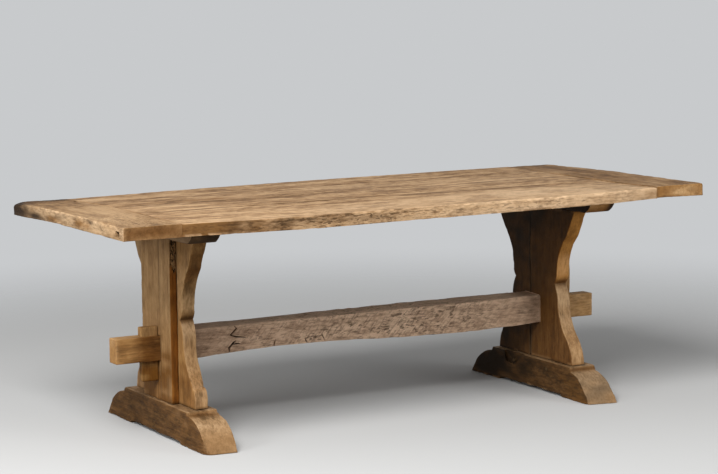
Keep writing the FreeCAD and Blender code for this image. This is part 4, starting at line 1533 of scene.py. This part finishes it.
def screw_tree(material):
    # Coach screws: a round slotted head under a plain shank.
    number, whole = "NodeSocketFloat", "NodeSocketInt"
    tree, wire, given = geometry_tree("coach_screws", (
        ("Head diameter", number), ("Head height", number), ("Shank diameter", number), ("Length", number),
        ("Slot width", number), ("Seed", whole)))

    def cylinder(points, diameter, low, high):
        mesh = wire.node("GeometryNodeMeshCylinder", {},
                         {"Vertices": points, "Radius": diameter * 0.5, "Depth": high - low})
        place = wire.node("ShaderNodeCombineXYZ", {}, {"Z": (high + low) * 0.5})
        return wire.node("GeometryNodeTransform", {}, {"Geometry": mesh, "Translation": place})

    slot_size = wire.node("ShaderNodeCombineXYZ", {}, {
        "X": given["Head diameter"] * 1.2, "Y": given["Slot width"], "Z": given["Head height"]})
    slot = wire.node("GeometryNodeMeshCube", {}, {"Size": slot_size})
    head = wire.node("GeometryNodeMeshBoolean", {"operation": "DIFFERENCE"}, {
        "Mesh 1": cylinder(28, given["Head diameter"], 0.0, given["Head height"]), "Mesh 2": slot})
    shank = cylinder(16, given["Shank diameter"], given["Head height"], given["Length"])
    join = wire.node("GeometryNodeJoinGeometry", {}, {"Geometry": head})
    wire.feed(join.socket.node, {"Geometry": shank})
    twist = wire.node("ShaderNodeCombineXYZ", {}, {"Z": random_number(wire, 0.0, 3.0, given["Seed"])})
    screws = wire.node("GeometryNodeInstanceOnPoints", {},
                       {"Points": given["Geometry"], "Instance": join, "Rotation": twist})
    return end_tree(tree, wire, screws, material)


def gallery_tree(material):
    # Long bores eaten along the grain, scattered over a patch.
    number, whole = "NodeSocketFloat", "NodeSocketInt"
    tree, wire, given = geometry_tree("worm_galleries", (
        ("Density", number), ("Thinnest", number), ("Thickest", number), ("Longest", number),
        ("Seed", whole)))
    points = wire.node("GeometryNodeDistributePointsOnFaces", {}, {
        "Mesh": given["Geometry"], "Density": given["Density"], "Seed": given["Seed"]})
    bore = wire.node("GeometryNodeMeshIcoSphere", {}, {"Radius": 1.0, "Subdivisions": 2})
    thick = random_number(wire, given["Thinnest"], given["Thickest"], given["Seed"])
    long = random_number(wire, given["Thickest"], given["Longest"], given["Seed"] + 1.0)
    size = wire.node("ShaderNodeCombineXYZ", {}, {"X": thick, "Y": thick * 2.0, "Z": long})
    bores = wire.node("GeometryNodeInstanceOnPoints", {},
                      {"Points": points, "Instance": bore, "Scale": size})
    return end_tree(tree, wire, bores, material)


def grown(name, tree, points, faces, values):
    # Runs a tree on a start mesh and returns its result as a plain piece.
    piece = new_piece(name, [tuple(place) for place in points], faces)
    grow = piece.modifiers.new("grow", "NODES")
    grow.node_group = tree
    for socket in tree.interface.items_tree:
        if socket.in_out == "INPUT" and socket.name in values:
            grow[socket.identifier] = values[socket.name]
    settled(piece, grow)
    return piece


def pegs(node, direction, tree, seed):
    # The pegs of one node, along one axis, from their visible ends.
    boxes = np.array(islands(node))
    axis = int(np.argmax(np.abs(direction)))
    size = boxes[0][1] - boxes[0][0]
    starts = boxes.mean(axis=1)
    starts[:, axis] = boxes[:, 0 if direction[axis] > 0 else 1, axis]
    values = {"Direction": direction, "Length": float(size[axis]),
              "Diameter": float(np.delete(size, axis).min()), "Chamfer": peg_chamfer, "Flats": peg_flats,
              "Seed": seed}
    piece = grown("riven_" + node, tree, starts, [], values)
    # Pegs have no worn arrises, so their sides count as far away.
    far = 9.0
    ends = boxes[:, 0, axis].min(), boxes[:, 1, axis].max()
    timbers[piece.name] = {"axis": axis, "ends": ends, "limits": fixed(-far, far, -far, far), "seed": seed,
                           "worn_in": 0.0}
    marked(piece, "peg_oak")
    piece.data.set_sharp_from_angle(angle=peg_crease)
    placed(piece, "peg_oak", node)


def screws(node, tree, seed):
    # The screws of one node, upright, from their heads.
    boxes = islands(node)
    starts = [((low + high) / 2)[:2].tolist() + [low[2]] for low, high in boxes]
    low, high = boxes[0]
    head = float(high[0] - low[0])
    values = {"Head diameter": head, "Head height": head * screw_head_height_share,
              "Shank diameter": head * screw_shank_share, "Length": float(high[2] - low[2]),
              "Slot width": head * screw_slot_share, "Seed": seed}
    piece = grown("steel_" + node, tree, starts, [], values)
    piece.data.set_sharp_from_angle(angle=screw_crease)
    placed(piece, "screw_steel", node)


def worm_galleries(low, high, head):
    # Cutter for the eaten patch near the head of a post, on its front side.
    left, right = low[0] + eaten_from_edges[0], high[0] - eaten_from_edges[1]
    bottom, top = head - eaten_below_head[0], head - eaten_below_head[1]
    front = low[1]
    corners = [(left, front, bottom), (right, front, bottom), (right, front, top), (left, front, top)]
    values = {"Density": 14000.0, "Thinnest": 0.0020, "Thickest": 0.0046, "Longest": 0.0170, "Seed": 5}
    return grown("cutter", gallery_tree(finishes["post_oak"]), corners, [(0, 1, 2, 3)], values)


# All pieces

for number, seed in ((1, 101), (2, 137), (3, 171), (4, 206)):
    top_plank(number, seed)
for number in (1, 2, 3):
    loose_tongue(number)
breadboard("left", 240)
breadboard("right", 275)
stretcher(311)
riven = peg_tree(finishes["peg_oak"])
coach = screw_tree(finishes["screw_steel"])
for side, first in (("left", 400), ("right", 600)):
    outward = 1.0 if side == "right" else -1.0
    foot(side, first)
    bearer(side, first + 17)
    for which, step in (("front", 31), ("rear", 53)):
        panel_board(side, which, first + step)
        post_plank(side, which, first + step + 40)
    key(side, first + 131)
    for kind, step in (("foot", 1), ("bearer", 2), ("post", 3)):
        pegs("%s_%s_pegs" % (side, kind), (outward, 0.0, 0.0), riven, first + 150 + step)
    pegs(side + "_breadboard_pegs", (0.0, 0.0, 1.0), riven, first + 160)
    pegs(side + "_panel_dowels", (0.0, 1.0, 0.0), riven, first + 161)
    screws(side + "_bearer_screws", coach, first + 170)


# Floor, light and camera

floor_half = 30.0
floor_fade_near = 1.5
floor_fade_far = 4.5
backdrop = (0.578, 0.591, 0.604, 1.0)
# What the floor gives back to the table
floor_bounce = (0.10, 0.10, 0.10, 1.0)
studio_white = (1.0, 0.98, 0.95)
sky_strength = 0.28
# Lamps: name, place, what they point at, size and power
lamps = (
    ("key", (-3.2, -3.0, 4.2), (0.0, 0.0, 0.5), 3.0, 370.0),
    ("left_fill", (-5.0, -1.6, 1.6), (-0.8, 0.0, 0.4), 2.4, 85.0),
    ("front_fill", (2.6, -3.8, 1.5), (0.8, 0.0, 0.45), 1.8, 52.0),
)


def rays_that_show(wire):
    # 1 for rays that show the backdrop, to the camera or in a shiny or clear surface.
    rays = wire.node("ShaderNodeLightPath").socket.node.outputs
    camera_ray, glossy, clear = [Wire(wire.tree, rays["Is %s Ray" % kind])
                                 for kind in ("Camera", "Glossy", "Transmission")]
    return (camera_ray + glossy + clear).at_most(1.0)


def floor():
    # A pale floor that fades into the backdrop.
    h = floor_half
    piece = new_piece("floor", [(-h, -h, 0), (h, -h, 0), (h, h, 0), (-h, h, 0)], [(0, 1, 2, 3)])
    material = bpy.data.materials.new("pale_floor")
    material.use_nodes = True
    tree = material.node_tree
    tree.nodes.clear()
    wire = Wire(tree)
    place = wire.node("ShaderNodeTexCoord", output=3)
    distance = wire.node("ShaderNodeVectorMath", {"operation": "LENGTH"}, {0: place}, 1)
    pale = wire.node("ShaderNodeBsdfDiffuse", {}, {"Color": backdrop})
    dim = wire.node("ShaderNodeBsdfDiffuse", {}, {"Color": floor_bounce})
    shown = wire.node("ShaderNodeMixShader", {}, {0: rays_that_show(wire), 1: dim, 2: pale})
    clear = wire.node("ShaderNodeBsdfTransparent")
    fading = wire.node("ShaderNodeMixShader", {},
                       {0: distance.step(floor_fade_near, floor_fade_far), 1: shown, 2: clear})
    wire.feed(tree.nodes.new("ShaderNodeOutputMaterial"), {"Surface": fading})
    piece.data.materials.append(material)


def world():
    # Soft light from all around, with a plain backdrop behind it.
    sky = bpy.data.worlds.new("studio")
    bpy.context.scene.world = sky
    sky.use_nodes = True
    tree = sky.node_tree
    tree.nodes.clear()
    wire = Wire(tree)
    lit = wire.node("ShaderNodeBackground", {}, {"Color": (*studio_white, 1.0), "Strength": sky_strength})
    shown = wire.node("ShaderNodeBackground", {}, {"Color": backdrop, "Strength": 1.0})
    mixed = wire.node("ShaderNodeMixShader", {}, {0: rays_that_show(wire), 1: lit, 2: shown})
    wire.feed(tree.nodes.new("ShaderNodeOutputWorld"), {"Surface": mixed})


def lamp(name, place, target, size, power):
    light = bpy.data.lights.new(name, "AREA")
    light.shape = "DISK"
    light.size = size
    light.energy = power
    light.color = studio_white
    piece = linked(name, light)
    piece.location = place
    piece.rotation_euler = (Vector(target) - Vector(place)).to_track_quat("-Z", "Y").to_euler()


def camera():
    right = Vector((math.cos(camera_yaw), -math.sin(camera_yaw), 0))
    ahead = Vector((math.sin(camera_yaw) * math.cos(camera_pitch),
                    math.cos(camera_yaw) * math.cos(camera_pitch), math.sin(camera_pitch)))
    above = right.cross(ahead)
    level = math.cos(camera_roll) * right + math.sin(camera_roll) * above
    upright = -math.sin(camera_roll) * right + math.cos(camera_roll) * above
    data = bpy.data.cameras.new("camera")
    data.sensor_width = sensor_width_mm
    data.lens = focal_length_px / image_width_px * sensor_width_mm
    piece = linked("camera", data)
    turn = Matrix((level, upright, -ahead)).transposed().to_4x4()
    piece.matrix_world = Matrix.Translation(camera_place) @ turn
    bpy.context.scene.camera = piece


floor()
world()
for values in lamps:
    lamp(*values)
camera()
bpy.context.scene.view_settings.view_transform = "Standard"
